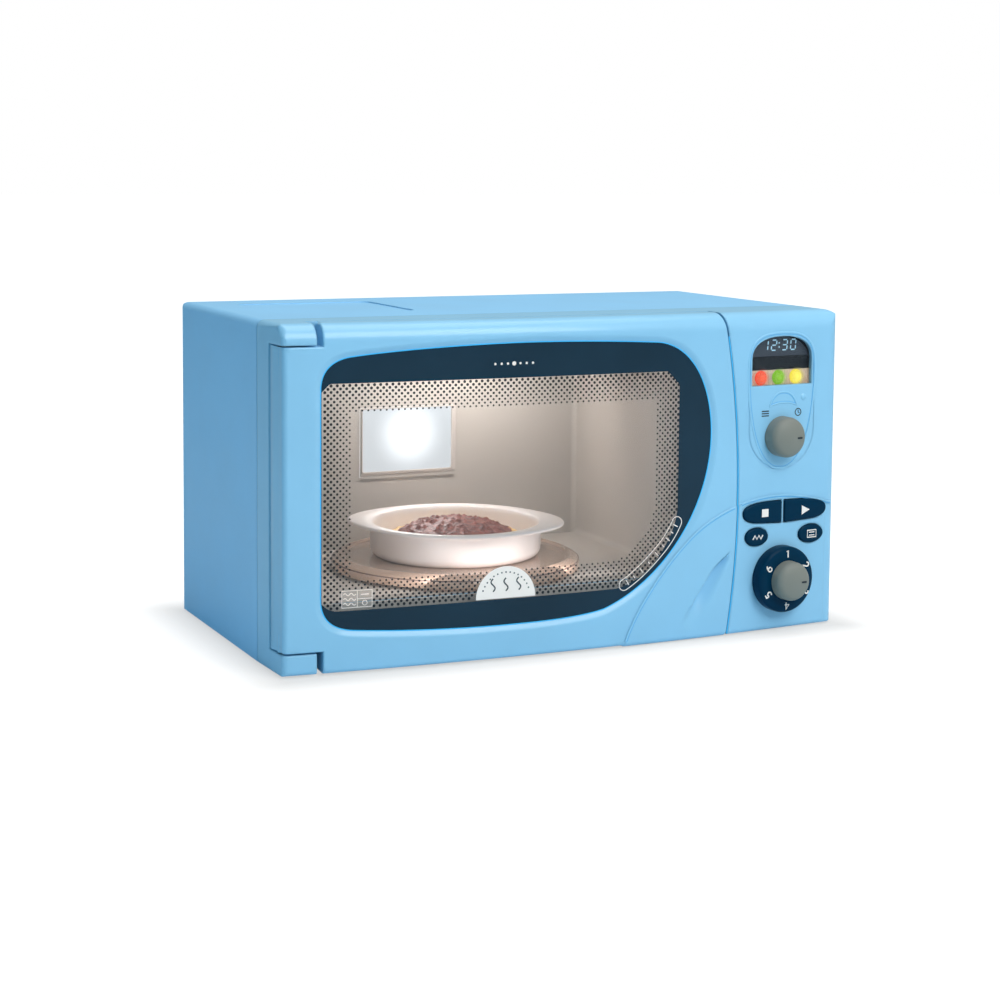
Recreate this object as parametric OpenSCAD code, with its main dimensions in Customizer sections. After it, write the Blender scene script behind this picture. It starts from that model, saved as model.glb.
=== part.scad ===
// Toy microwave oven: a bowed blue cabinet with a side-hung glazed door, a lit
// oven with a motor-driven turntable, and a control panel of buttons and knobs.
// Sizes are in millimetres. X runs along the front, Y from the front to the back, Z up.

/* [Cabinet] */
// Width of the cabinet
body_w = 318; // [300:1:340]
// Depth from the front corners to the back
body_d = 168; // [164:1:190]
// Height of the cabinet without its feet
body_h = 170; // [166:1:190]
// How far the middle of the front bows forward
front_bow = 8; // [4:0.5:12]
// Wall thickness of the blue mouldings
wall = 2.5; // [2:0.1:3]
// Radius of the long edge between front and top
front_top_r = 9; // [6:0.5:11]
// Radius of the edge between the top and the panel side
side_top_r = 8.5; // [7:1.5:10]
// Radius of the edge between the top and the hinge side
hinge_top_r = 4; // [3:0.5:7]
// Radius of the edges at the back
rear_r = 4; // [3:0.5:6]
// Radius of the upright front edge beside the panel
panel_edge_r = 8; // [5:0.5:10]
// Radius of the upright front edge beside the hinge
hinge_edge_r = 3; // [2.6:0.2:5]
// How far the sides draw in towards the front
side_draft = 1.2; // [0.6:0.2:1.6]
// Depth of the front moulding at the sides
front_casing_d = 35; // [32:1:45]
// Width and depth of the groove behind the front moulding
seam_groove = 0.5; // [0.3:0.1:0.8]
// Height of the feet below the cabinet
foot_h = 1.2; // [1:0.1:2.5]
// Radius of a foot
foot_r = 7; // [5:0.5:9]

/* [Door] */
// Depth of the door at its edges
door_d = 17.2; // [16.4:0.1:18]
// Gap between the back of the door and the front moulding
door_back_gap = 1.4; // [1.2:0.1:2]
// Gap at the curved edge of the door
door_edge_gap = 0.7; // [0.5:0.1:1]
// Distance from the panel side of the cabinet to the curved edge of the door
panel_w = 67; // [66:0.5:70]
// Radius of the curved edge of the door
door_curve_r = 470; // [400:10:600]
// Height of the widest point of the door
door_curve_z = 75; // [65:1:85]
// Length of a hinge lug along the front
lug_w = 18; // [17:0.5:20]
// Height of a hinge lug
lug_h = 10.1; // [9.6:0.1:11]
// Gap beside a hinge lug
lug_gap = 3.2; // [3:0.1:4.5]
// Gap between a hinge lug and the door
lug_clear = 0.8; // [0.6:0.1:1.2]
// Radius of a hinge pin
pin_r = 2; // [1.5:0.1:2.2]
// Height that the lower part of the front stands proud
swoosh_h = 0.6; // [0.4:0.1:1]

/* [Window] */
// Margin between the cabinet side and the window
win_side = 20; // [19:0.5:22]
// Margin between the curved door edge and the window
win_edge = 16; // [15:0.5:18]
// Margin below the window
win_below = 16.5; // [15:0.5:20]
// Margin above the window
win_above = 11.2; // [10.5:0.1:13]
// Depth of the window glass below the front
win_recess = 1.7; // [1.2:0.1:2]
// Width of the sloping lip round the window
win_lip = 3; // [2:0.2:4]
// Thickness of the window glass
glass_t = 2; // [1.5:0.1:2.5]

/* [Oven] */
// Height of the oven floor
oven_floor = 30; // [29:0.5:34]
// Distance from the oven roof to the top of the cabinet
oven_above = 24; // [20:1:26]
// Distance from the oven back to the back of the cabinet
oven_behind = 22; // [20:1:24]
// Distance from the oven side to the hinge side of the cabinet
oven_beside = 19; // [18.5:0.5:21]
// Thickness of the oven liner
liner_t = 2; // [1.6:0.1:2.2]
// Radius of the oven's corners
oven_r = 3; // [2.2:0.2:5]
// Gap between the turntable and the oven's back
plate_gap = 1.2; // [1:0.2:8]
// Height of the turntable above the oven floor
plate_up = 7.8; // [7.6:0.1:10]
// Radius of the dish wall
dish_r = 46.4; // [38:0.2:48]
// Height of the dish
dish_h = 18.6; // [14:0.2:22]
// Width of the lamp window
lamp_w = 58.6; // [50:0.2:62]
// Height of the lamp window
lamp_h = 40.4; // [34:0.2:44]

/* [Controls] */
// Distance from the middle of the controls to the side of the cabinet
panel_mid = 39.5; // [38.5:0.5:40.5]
// Height of the middle of the power dial
dial_z = 27.5; // [27:0.5:29]
// Radius of the power dial
dial_r = 17.8; // [15:0.1:18.2]
// Height of the power dial's ring
dial_h = 7.2; // [5:0.1:9]
// Radius of the power dial's grip
grip_r = 10.5; // [9:0.1:11.5]
// Height of the power dial's grip above its ring
grip_h = 9; // [6:0.5:11]
// Height of the middle of the timer knob
timer_z = 103.6; // [101:0.2:105]
// Radius of the timer knob
timer_r = 10.8; // [9:0.1:12]
// Height of the timer knob
timer_h = 10.4; // [8:0.2:12]
// Travel of a push button
press = 2; // [1.5:0.1:2.2]
// How far a push button stands proud
button_up = 1.2; // [1:0.1:1.8]
// Gap around a push button
button_gap = 0.35; // [0.3:0.05:0.5]
// Half width of the display
display_w = 19.6; // [17:0.2:20]
// Distance from the top of the cabinet to the flat foot of the display
display_below = 39; // [37:0.5:40]
// Height of the display
display_h = 26; // [23:0.2:27]
// Radius of an indicator light
light_r = 3.9; // [3:0.1:4]
// Distance between indicator lights
light_pitch = 11.4; // [10:0.1:12]

/* [Drive and power] */
// Tooth size of the turntable gear pair
drive_module = 1; // [0.9:0.05:1.1]
// Teeth on the turntable gear
drive_teeth = 54; // [48:1:60]
// Teeth on the small idler gear
idler_small_teeth = 12; // [12:1:14]
// Tooth size of the motor gear pair
motor_module = 0.8; // [0.7:0.05:0.9]
// Teeth on the large idler gear
idler_large_teeth = 45; // [41:2:49]
// Teeth on the motor pinion
pinion_teeth = 10; // [10:2:12]
// Thickness of the gears
gear_t = 4; // [3:0.2:4.4]
// Radius of the turntable spindle
spindle_r = 3; // [2.5:0.1:3.5]
// Number of batteries
battery_count = 3; // [3:1:3]
// Length of a battery
battery_l = 50; // [48:0.5:51]
// Radius of a battery
battery_r = 7.1; // [6.6:0.1:7.2]

/* [Hidden] */
$fn = 64;

blue = [0.54, 0.80, 0.95];
teal = [0.10, 0.22, 0.28];
warm_grey = [0.50, 0.50, 0.46];
cream = [0.86, 0.83, 0.77];

run_gap = 0.05;
fit_gap = 0.3;
tiny = 0.01;
half_w = body_w / 2;
bow_r = (half_w * half_w + front_bow * front_bow) / (2 * front_bow);
bow_y = bow_r - front_bow;
bow_half = asin((half_w + 15) / (bow_r - body_d - front_bow - 12));
function bow_at(x) = bow_y - sqrt(bow_r * bow_r - x * x);
bow_fn = 720;
casing_y = door_d + door_back_gap;
bezel_back = casing_y + wall;
seam_wall = 1.6;
door_x = half_w - panel_w;

hinge_x = -half_w + 4.7;
hinge_y = 7;
hinge_pin_l = 14;
lug_end = -half_w + lug_w;
notch_end = lug_end + lug_gap;

win_l = -half_w + win_side;
win_r = door_x - win_edge;
win_b = win_below;
win_t = body_h - win_above;
glass_flange = 4;
glass_front = wall;

oven_l = -half_w + oven_beside;
oven_rt = door_x - 19;
oven_top = body_h - oven_above;
oven_back = body_d - oven_behind;
table_x = (oven_l + oven_rt) / 2;
table_y = (bow_at(table_x) + door_d + oven_back) / 2;
plate_r = oven_back - table_y - plate_gap;
plate_z = oven_floor + plate_up;
plate_t = 2.2;
dish_t = 1.8;
lamp_z = (oven_floor + oven_top) / 2 + 1.3;

display_z = body_h - display_below;
panel_x = half_w - panel_mid;
panel_a = asin(panel_x / bow_r);
panel_y = bow_at(panel_x);
board_y = 13.5;
board_t = 1.6;
flange_y = wall + 0.6;
flange_t = 1.2;
stem_r = 3;

grip_top = dial_h + grip_h;
y_front = panel_y - (swoosh_h + fit_gap + grip_top - 0.15) * cos(panel_a) - 3 * sin(panel_a);
frame_y = -(body_d + y_front) / 2;

drive_axes = drive_module * (drive_teeth + idler_small_teeth) / 2;
motor_axes = motor_module * (idler_large_teeth + pinion_teeth) / 2;
idler_x = table_x + drive_axes;
motor_x = idler_x + motor_axes;
backlash = 0.16;
pressure_angle = 25;
tray_z = wall;
tray_t = 1.6;
drive_z = tray_z + tray_t + 9;
upper_z = drive_z + gear_t + 1.4;
under_oven = oven_floor - liner_t;
motor_body_l = upper_z - tray_z - tray_t - 1.6;
idler_post_r = 2;

bay_l = battery_l + 8;
bay_w = battery_count * (2 * battery_r + 1) + 3;
bay_x = half_w - 41;
bay_y = front_casing_d + 24 + bay_w / 2;
bay_wall = 2.4;
bay_lip = 1.6;
bay_tab = 8.5;
bay_top = wall + 2 * battery_r + 3;
battery_z = wall + battery_r + 1;
cover_t = 2;
speaker_r = 18;
speaker_x = bay_x - bay_l / 2 - speaker_r - 6;
speaker_y = bay_y + speaker_r + 12;

screw_r = 1.4;
screw_head_r = 2.8;
screw_head_h = 1.8;
screw_l = 11;
boss_r = 3.6;
rear_inset_x = half_w - 11;
rear_inset_z0 = 9;
rear_inset_z1 = body_h - 10;
rear_plate_t = 2.4;
screw_rear = [for (sx = [-1, 1], z = [rear_inset_z0 + 5, rear_inset_z1 - 5]) [sx * (rear_inset_x - 5), z]];
base_x = half_w - wall - fit_gap;
base_y0 = front_casing_d + 0.4;
base_y1 = body_d - 6;
screw_base = [for (sx = [-1, 1], y = [base_y0 + 9, base_y1 - 9]) [sx * (base_x - 7), y]];

// Points of a cubic curve from a to d with handles b and c, without its last point
function bezier(a, b, c, d, n) = [for (i = [0 : n - 1]) let (t = i / n, s = 1 - t)
    s * s * s * a + 3 * s * s * t * b + 3 * s * t * t * c + t * t * t * d];

// Points of an arc about c from angle a0 to a1
function arc(c, r, a0, a1, n) = [for (i = [0 : n]) c + r * [cos(a0 + (a1 - a0) * i / n), sin(a0 + (a1 - a0) * i / n)]];

// Points of a closed outline moved outwards by d, for an outline that runs clockwise
function grown(p, d) = [for (i = [0 : len(p) - 1]) let (n = len(p),
    t = p[(i + 1) % n] - p[(i + n - 1) % n]) p[i] + d * [-t[1], t[0]] / norm(t)];

// Start and two handles of each curve of the window outline, for a window 215 by 142.3
win_curves = [
    [[0, 19.5], [0, 55], [0, 90]], [[0, 121.5], [0, 131.5], [6, 136.7]],
    [[17, 137.7], [39, 140.3], [79, 142.3]], [[109, 142.3], [134, 142.3], [159, 141.3]],
    [[181, 140], [203, 138.5], [215, 116.5]], [[215, 90.5], [215, 53.5], [189, 16.5]],
    [[152, 3.5], [137, 0.1], [114, 0]], [[94, 0], [64, 0], [34, 1.9]], [[17, 3.5], [6, 4.5], [0, 9.5]]];
win_design = [215, 142.3];
function win_place(p) = [win_l + p[0] * (win_r - win_l) / win_design[0],
    win_b + p[1] * (win_t - win_b) / win_design[1]];
function win_points() = [for (i = [0 : len(win_curves) - 1]) let (c = win_curves[i],
    e = win_curves[(i + 1) % len(win_curves)], n = i == 0 ? 1 : 7)
    each bezier(win_place(c[0]), win_place(c[1]), win_place(c[2]), win_place(e[0]), n)];
win = win_points();

// The line above which the front steps back: door foot, round the window, over the panel
swoosh_shift = half_w - 159;
function swoosh_points(n) = [for (q = concat(
    bezier([22.5, -4], [27, 14], [44, 37], [62, 52.5], n),
    bezier([62, 52.5], [76, 64.5], [98, 72], [117, 72], n),
    bezier([117, 72], [133, 72], [147, 67.5], [166, 62.5], n), [[166, 62.5]]))
    [q[0] + swoosh_shift, q[1]]];

// Plan of the cabinet, drawn in by off
function plan_points(off) = let (
    xr = half_w - side_draft - panel_edge_r, xl = -(half_w - side_draft - hinge_edge_r),
    yr = bow_at(xr) + panel_edge_r, yl = bow_at(xl) + hinge_edge_r,
    rr = max(rear_r - off, 0.4), pr = panel_edge_r - off, hr = max(hinge_edge_r - off, 0.4))
    concat(
        arc([half_w - off - rr, body_d - off - rr], rr, 0, 90, 6),
        arc([-(half_w - off - rr), body_d - off - rr], rr, 90, 180, 6),
        [[-(half_w - off), front_casing_d]],
        arc([xl, yl], hr, 180, 270, 5),
        [[xl + tiny, -front_bow - 12], [xr - tiny, -front_bow - 12]],
        arc([xr, yr], pr, 270, 360, 8),
        [[half_w - off, front_casing_d]]);

// Children drawn in the front view, carried from y0 to y1
module along_y(y0, y1) {
    translate([0, y1, 0]) rotate([90, 0, 0]) linear_extrude(y1 - y0) children();
}

// Children drawn in the side view, carried from x0 to x1
module along_x(x0, x1) {
    translate([x0, 0, 0]) rotate([90, 0, 90]) linear_extrude(x1 - x0) children();
}

// What is cut from a corner c to round it; s points from the corner inwards
module corner_cut(c, s, r) {
    if (r > 0.05) difference() {
        translate([c[0] - (s[0] > 0 ? 1 : r), c[1] - (s[1] > 0 ? 1 : r)]) square(r + 1);
        translate([c[0] + s[0] * r, c[1] + s[1] * r]) circle(r);
    }
}

// Rectangle from a to b with radii given from the lower left, counterclockwise
module round_rect(a, b, r) {
    difference() {
        translate(a) square(b - a);
        corner_cut(a, [1, 1], r[0]);
        corner_cut([b[0], a[1]], [-1, 1], r[1]);
        corner_cut(b, [-1, -1], r[2]);
        corner_cut([a[0], b[1]], [1, -1], r[3]);
    }
}

// Block with the bowed front face, its top front edge rounded, drawn in by off
module bowed(off) {
    translate([0, bow_y, 0]) rotate([0, 0, 270 - bow_half]) rotate_extrude(angle = 2 * bow_half, $fn = bow_fn)
        round_rect([bow_r - body_d - front_bow - 10, off], [bow_r - off, body_h - off],
            [0, max(2 - off, 0), max(front_top_r - off, 1), 0]);
}

// The front view of the cabinet carried back, drawn in by off
module front_prism(off, y0, y1) {
    along_y(y0, y1) round_rect([-(half_w - off), off], [half_w - off, body_h - off],
        [0, 0, side_top_r - off, hinge_top_r - off]);
}

// All that lies deeper than d behind the bowed front
module inside_bow(d) {
    translate([0, bow_y, -5]) cylinder(r = bow_r - d, h = body_h + 10, $fn = bow_fn);
}

module plan_prism(off) {
    translate([0, 0, -5]) linear_extrude(body_h + 10) polygon(plan_points(off));
}

// The front half of the cabinet, drawn in by off, its face lifted by lift, back to y1
module front_block(off, y1, lift = 0) {
    intersection() {
        bowed(off - lift);
        front_prism(off, -front_bow - 10, y1);
        plan_prism(off);
    }
}

// The back half of the cabinet, drawn in by off
module case_block(off, y0) {
    intersection() {
        front_prism(off, y0, body_d - off);
        plan_prism(off);
        along_x(-half_w - 5, half_w + 5)
            round_rect([y0 - 1, off], [body_d - off, body_h - off], [0, rear_r / 2, max(rear_r - off, 0.4), 0]);
    }
}

// All that lies on the door's side of its curved edge, less g, up to y1
module door_zone(g, y1) {
    along_y(-front_bow - 14, y1) translate([door_x - door_curve_r, door_curve_z]) circle(door_curve_r - g, $fn = 360);
}

// The lower right part of the front, below the swoosh line
module swoosh_zone() {
    along_y(-front_bow - 14, door_d + 4) polygon(concat([[half_w + 8, -6]], [[22.5 + swoosh_shift, -6]], swoosh_points(10)));
}

// Blocks beside the hinge, above and below the door, widened by e
module lug_zone(x1, h, e) {
    for (z = [-1, body_h - h - e]) translate([-half_w - 2, -front_bow - 12, z])
        cube([x1 + half_w + 2 + e, front_bow + 12 + casing_y + 6, h + e + 1]);
}

// Children placed on the bowed front: origin on its face at x, Y going inwards
module on_front(x) {
    translate([x, bow_at(x), 0]) rotate([0, 0, asin(x / bow_r)]) children();
}

module on_panel() {
    on_front(panel_x) children();
}

// Every piece stands on the floor, with the origin under the middle of the whole oven
module in_frame() {
    translate([0, frame_y, foot_h]) children();
}

// Turned shape on the panel, with its axis along the panel's Y at height z
module panel_turned(z) {
    translate([0, 0, z]) rotate([90, 0, 0]) children();
}

// Outline of the display, grown by g: flat foot, upright sides and a domed top
function display_points(g) = let (w = display_w + g, z0 = display_z - g, side = display_h * 0.55, rise = display_h * 0.45 + g)
    concat([[w, z0], [w, display_z + side]], [for (i = [1 : 15]) let (a = i * 180 / 16, c = cos(a))
        [w * sign(c) * pow(abs(c), 0.86), display_z + side + rise * pow(sin(a), 0.86)]],
        [[-w, display_z + side], [-w, z0]]);

// Outline of the shallow groove round the display and the timer knob
function badge_points(g) = let (r = display_w + 1.5 + g, cz = timer_z + 3.9)
    concat(arc([0, cz], r, 180, 360, 24), [[r, display_z + display_h * 0.5]],
        [for (i = [1 : 15]) let (a = i * 180 / 16, c = cos(a))
            [r * sign(c) * pow(abs(c), 0.86), display_z + display_h * 0.5 + (display_h * 0.5 + 1.8 + g) * pow(sin(a), 0.86)]],
        [[-r, display_z + display_h * 0.5]]);

// Outline of a long button: square inner end, rounded outer end, seen on the left
function long_button_points(x0, x1, g) = let (s = sign(x0 - x1), n = 8)
    concat([[x1 - s * g, 57.3 - g], [x1 - s * g, 69.3 + g]],
        bezier([x0 - s * 15, 69.1 + g], [x0 - s * 6, 68.6 + g], [x0 + s * g, 67.5 + g], [x0 + s * g, 63.6], n),
        bezier([x0 + s * g, 63.6], [x0 + s * g, 60 - g], [x0 - s * 4, 58.6 - g], [x0 - s * 9, 58.2 - g], n),
        [[x0 - s * 9, 58.2 - g]]);
function oval_points(c, a, b, g) = [for (i = [0 : 27]) c + [(a + g) * cos(i * 360 / 28), (b + g) * sin(i * 360 / 28)]];

stop_l = -24.3;
start_l = 30;
grill_c = [-15.5, 50.7];
grill_a = [7.3, 4.8];
oven_c = [20.2, 49.9];
oven_a = [8.1, 4.9];

module stop_outline(g) { polygon(long_button_points(stop_l, 0.5, g)); }
module start_outline(g) { polygon(long_button_points(start_l, 2.3, g)); }
module grill_outline(g) { polygon(oval_points(grill_c, grill_a[0], grill_a[1], g)); }
module oven_outline(g) { polygon(oval_points(oven_c, oven_a[0], oven_a[1], g)); }

// Rounds the end of the top front edge where it meets the hinge side
module soft_corner() {
    back = front_top_r * (1 - cos(45));
    soft_r = (hinge_edge_r + hinge_top_r) / 2;
    side_x = half_w - side_draft * (1 - back / front_casing_d);
    translate([-side_x, bow_at(side_x - soft_r) + back, body_h - back]) rotate([-45, 0, 0]) difference() {
        translate([-2, -2, -12]) cube([soft_r + 2, soft_r + 2, 24]);
        translate([soft_r, soft_r, -13]) cylinder(r = soft_r, h = 26);
    }
}

module front_casing() color(blue) in_frame() difference() {
    union() {
        difference() {
            union() {
                front_block(0, front_casing_d);
                intersection() {
                    front_block(0, front_casing_d, swoosh_h);
                    swoosh_zone();
                }
            }
            difference() {
                door_zone(-door_edge_gap, front_casing_d);
                lug_zone(lug_end, lug_h, 0);
                inside_bow(casing_y);
            }
            intersection() {
                front_block(wall, front_casing_d + 1);
                inside_bow(bezel_back);
            }
            difference() {
                front_block(wall, front_casing_d + 1);
                door_zone(-door_edge_gap - seam_wall, front_casing_d + 5);
            }
        }
        on_panel() {
            for (z = [timer_z, dial_z]) panel_turned(z) translate([0, 0, -8]) cylinder(r = stem_r + 2.6, h = 8 - wall / 2);
            for (p = board_posts) panel_turned(p[1]) translate([p[0], 0, -board_y]) cylinder(r = 2.4, h = board_y - wall / 2);
        }
    }
    soft_corner();
    along_y(5, front_casing_d + 5) round_rect([oven_l, oven_floor], [oven_rt, oven_top], [oven_r, oven_r, oven_r, oven_r]);
    for (z = [lug_h - hinge_pin_l / 2, body_h - lug_h - hinge_pin_l / 2])
        translate([hinge_x, hinge_y, z]) cylinder(r = pin_r, h = hinge_pin_l);
    on_front(latch_x) translate([-latch_t / 2 - 0.6, 8, latch_z - 6.6]) cube([latch_t + 2.9, 20, 13.2]);
    on_panel() {
        along_y(-3, wall + 2) polygon(display_points(0));
        along_y(-3, wall + 6) {
            stop_outline(button_gap);
            start_outline(button_gap);
            grill_outline(button_gap);
            oven_outline(button_gap);
        }
        for (z = [timer_z, dial_z]) panel_turned(z) translate([0, 0, -12]) cylinder(r = stem_r + run_gap, h = 24);
        along_y(-3, 0.4) difference() {
            polygon(badge_points(0.5));
            polygon(badge_points(-0.5));
        }
    }
}

latch_x = door_x - 9.5;
latch_z = 84;
latch_t = 3;
board_posts = [[-19, display_z - 12], [24, display_z - 12], [-19, 20], [24, 20]];

module outer_case() color(blue) in_frame() difference() {
    union() {
        difference() {
            union() {
                case_block(0, front_casing_d + seam_groove);
                case_block(seam_groove, front_casing_d);
            }
            difference() {
                case_block(wall, front_casing_d - 1);
                translate([-half_w, body_d - wall, -1]) cube([body_w, wall + 1, body_h + 2]);
            }
            translate([-base_x - fit_gap, base_y0 - 2, -1]) cube([2 * (base_x + fit_gap), base_y1 - base_y0 + 2 + fit_gap, wall + 2]);
            along_y(body_d - wall - 1, body_d + 1) round_rect([-rear_inset_x - fit_gap, rear_inset_z0 - fit_gap],
                [rear_inset_x + fit_gap, rear_inset_z1 + fit_gap], [8, 8, 8, 8]);
        }
        intersection() {
            case_block(wall - tiny, body_d - wall - rear_plate_t - 3);
            along_y(body_d - wall - 0.7 - rear_plate_t, body_d - rear_plate_t - 0.6) difference() {
                round_rect([-half_w, 0], [half_w, body_h], [0, 0, 0, 0]);
                round_rect([-rear_inset_x + 3, rear_inset_z0 + 3], [rear_inset_x - 3, rear_inset_z1 - 3], [6, 6, 6, 6]);
            }
        }
        difference() {
            intersection() {
                front_prism(wall, front_casing_d - 4, front_casing_d + 3);
                plan_prism(wall);
            }
            front_prism(wall + 1.2, front_casing_d - 5, front_casing_d + 4);
            translate([-half_w, 0, -1]) cube([body_w, body_d, wall + 3]);
        }
        for (p = screw_rear) translate([p[0], body_d - rear_plate_t - 0.8, p[1]]) rotate([90, 0, 0]) cylinder(r = boss_r, h = 12);
        for (p = screw_base) translate([p[0], p[1], wall + tiny]) {
            cylinder(r = boss_r, h = 12);
            translate([p[0] > 0 ? 0 : -boss_r - 4.5, -1.2, 0]) cube([boss_r + 4.5, 2.4, 12]);
        }
    }
    for (p = screw_rear) translate([p[0], body_d, p[1]]) rotate([90, 0, 0]) cylinder(r = screw_r + run_gap, h = 12 + rear_plate_t);
    for (p = screw_base) translate([p[0], p[1], -1]) cylinder(r = screw_r + run_gap, h = 13);
    translate([oven_l + 3, body_d - 101, body_h - 0.6]) linear_extrude(2) round_rect([0, 0], [76, 72], [6, 6, 6, 6]);
}

module rear_cover() color(blue) in_frame() difference() {
    along_y(body_d - 0.6 - rear_plate_t, body_d - 0.6) round_rect([-rear_inset_x, rear_inset_z0], [rear_inset_x, rear_inset_z1], [8, 8, 8, 8]);
    for (x = [vent_x0 : vent_pitch : vent_x0 + vent_pitch * (vent_count - 1)]) along_y(body_d - 5, body_d + 1) {
        round_rect([x, vent_z], [x + vent_w, vent_z + vent_l], [vent_w / 2, vent_w / 2, vent_w / 2, vent_w / 2] * 0.98);
    }
    for (p = screw_rear) translate([p[0], body_d + 1, p[1]]) rotate([90, 0, 0]) {
        cylinder(r = screw_r + 0.2, h = 8);
        cylinder(r = screw_head_r + 0.3, h = 1 + 0.6 + 1.2);
    }
}

vent_w = 3;
vent_l = 40;
vent_pitch = 7;
vent_count = 14;
vent_x0 = -vent_pitch * (vent_count - 1) / 2 - vent_w / 2;
vent_z = body_h - 68;

module base_plate() color(blue) in_frame() difference() {
    union() {
        translate([-base_x, base_y0, 0]) cube([2 * base_x, base_y1 - base_y0, wall]);
        translate([bay_x - bay_l / 2 - bay_wall, bay_y - bay_w / 2 - bay_wall, 0]) cube([bay_l + 2 * bay_wall, bay_w + 2 * bay_wall, bay_top + bay_wall]);
        translate([bay_x - 7, bay_y - bay_w / 2 - bay_tab - 1.6, 0]) cube([14, bay_tab, 9]);
        translate([speaker_x, speaker_y, wall - tiny]) difference() {
            cylinder(r = speaker_r + 1.8, h = 3);
            translate([0, 0, -1]) cylinder(r = speaker_r + fit_gap, h = 6);
        }
    }
    translate([bay_x - bay_l / 2, bay_y - bay_w / 2, -1]) cube([bay_l, bay_w, bay_top + 1]);
    bay_recess(0);
    for (r = [0 : 5.2 : 15.6], k = [0 : max(1, 2 * PI * r / 5.2) - 0.5]) translate([speaker_x, speaker_y, -1]) rotate([0, 0, k * 360 / max(1, floor(2 * PI * r / 5.2))])
        translate([r, 0, 0]) cylinder(r = 1.3, h = wall + 2, $fn = 24);
    for (p = foot_places) translate([p[0], p[1], -1]) cylinder(r = foot_r - 1.5 + run_gap, h = 2.2);
    for (p = screw_base) translate([p[0], p[1], -1]) {
        cylinder(r = screw_r + 0.2, h = 8);
        cylinder(r = screw_head_r + 0.3, h = 1 + 1.2);
    }
    translate([bay_x, bay_screw_y, -1]) cylinder(r = screw_r + run_gap, h = 9);
}

bay_screw_y = bay_y - bay_w / 2 - 6;

// Recess of the battery cover in the base, drawn in by g
module bay_recess(g) {
    translate([bay_x - bay_l / 2 - bay_lip + g, bay_y - bay_w / 2 - bay_lip + g, g > 0 ? 0 : -1])
        cube([bay_l + 2 * bay_lip - 2 * g, bay_w + 2 * bay_lip - 2 * g, cover_t + (g > 0 ? 0 : 1)]);
    translate([bay_x - 5.5 + g, bay_screw_y - 3.6 + g, g > 0 ? 0 : -1]) cube([11 - 2 * g, 9 - 2 * g, cover_t + (g > 0 ? 0 : 1)]);
}

foot_x = half_w - 26;
foot_places = [[-foot_x, base_y0 + 13], [foot_x, base_y0 + 13], [-foot_x, base_y1 - 16], [foot_x, base_y1 - 16]];

// One rubber foot: a pad below the base with a plug in it
module foot(i) {
    color([0.25, 0.25, 0.27]) in_frame() translate([foot_places[i][0], foot_places[i][1], -foot_h]) {
        cylinder(r = foot_r, h = foot_h);
        cylinder(r = foot_r - 1.5, h = foot_h + 1.2);
    }
}
module foot_front_left() { foot(0); }
module foot_front_right() { foot(1); }
module foot_rear_left() { foot(2); }
module foot_rear_right() { foot(3); }

module battery_cover() color(blue) in_frame() difference() {
    union() {
        bay_recess(fit_gap);
        for (x = [-14, 14]) translate([bay_x + x - 4, bay_y + bay_w / 2 - 2.2, cover_t - tiny]) cube([8, 1.6, 3]);
    }
    for (k = [-2 : 2]) translate([bay_x - 10, bay_y + bay_w / 2 - 8 + k * 2.6, -1]) cube([20, 1.2, 1.5]);
    translate([bay_x, bay_screw_y, -1]) {
        cylinder(r = screw_r + 0.2, h = 9);
        cylinder(r = screw_head_r, h = 1 + 1.3);
    }
}

// A pan-head screw that points along +Z, its head at z 0
module screw(l) {
    difference() {
        union() {
            cylinder(r = screw_head_r, h = screw_head_h);
            cylinder(r = screw_r, h = l);
        }
        for (a = [0, 90]) rotate([0, 0, a]) translate([-1.9, -0.35, -1]) cube([3.8, 0.7, 2]);
    }
}

module battery_cover_screw() color("silver") in_frame()
    translate([bay_x, bay_screw_y, 0.2]) scale_head(1.1, 7);

// A short pan-head screw with a head of height h
module scale_head(h, l) {
    difference() {
        union() {
            cylinder(r = screw_head_r - 0.3, h = h);
            cylinder(r = screw_r, h = l);
        }
        for (a = [0, 90]) rotate([0, 0, a]) translate([-1.7, -0.3, -1]) cube([3.4, 0.6, 1.6]);
    }
}

module casing_screws() color("silver") in_frame() {
    for (p = screw_rear) translate([p[0], body_d - 0.6 - 1.2 + screw_head_h, p[1]]) rotate([90, 0, 0]) screw(screw_l);
    for (p = screw_base) translate([p[0], p[1], 1.2 - 1.1]) scale_head(1.1, screw_l);
}

// The oven's inside, drawn in by off, from y0 to its back
module oven_block(off, y0) {
    intersection() {
        along_y(y0, oven_back - off) round_rect([oven_l + off, oven_floor + off], [oven_rt - off, oven_top - off],
            [1, 1, 1, 1] * (oven_r - off));
        translate([0, 0, -1]) linear_extrude(body_h) round_rect([oven_l + off, -50], [oven_rt - off, oven_back - off],
            [0, 0, oven_r - off, oven_r - off]);
    }
}

module oven_liner() color(cream) in_frame() difference() {
    union() {
        intersection() {
            oven_block(-liner_t, 5);
            inside_bow(bezel_back);
        }
        difference() {
            intersection() {
                along_y(5, oven_back - 20) round_rect([oven_l - 7, oven_floor - 7], [oven_rt + 4.5, oven_top + 7], [3, 3, 3, 3]);
                inside_bow(bezel_back);
            }
            inside_bow(bezel_back + 1.8);
        }
        translate([table_x, table_y, under_oven - 1.5]) cylinder(r = 9, h = 2);
    }
    oven_block(0, 0);
    along_y(oven_back - 2, oven_back + liner_t + 1) round_rect([table_x - lamp_w / 2, lamp_z - lamp_h / 2],
        [table_x + lamp_w / 2, lamp_z + lamp_h / 2], [1.5, 1.5, 1.5, 1.5]);
    translate([table_x, table_y, under_oven - 5]) cylinder(r = coupler_r + 0.8, h = 12);
}

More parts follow.
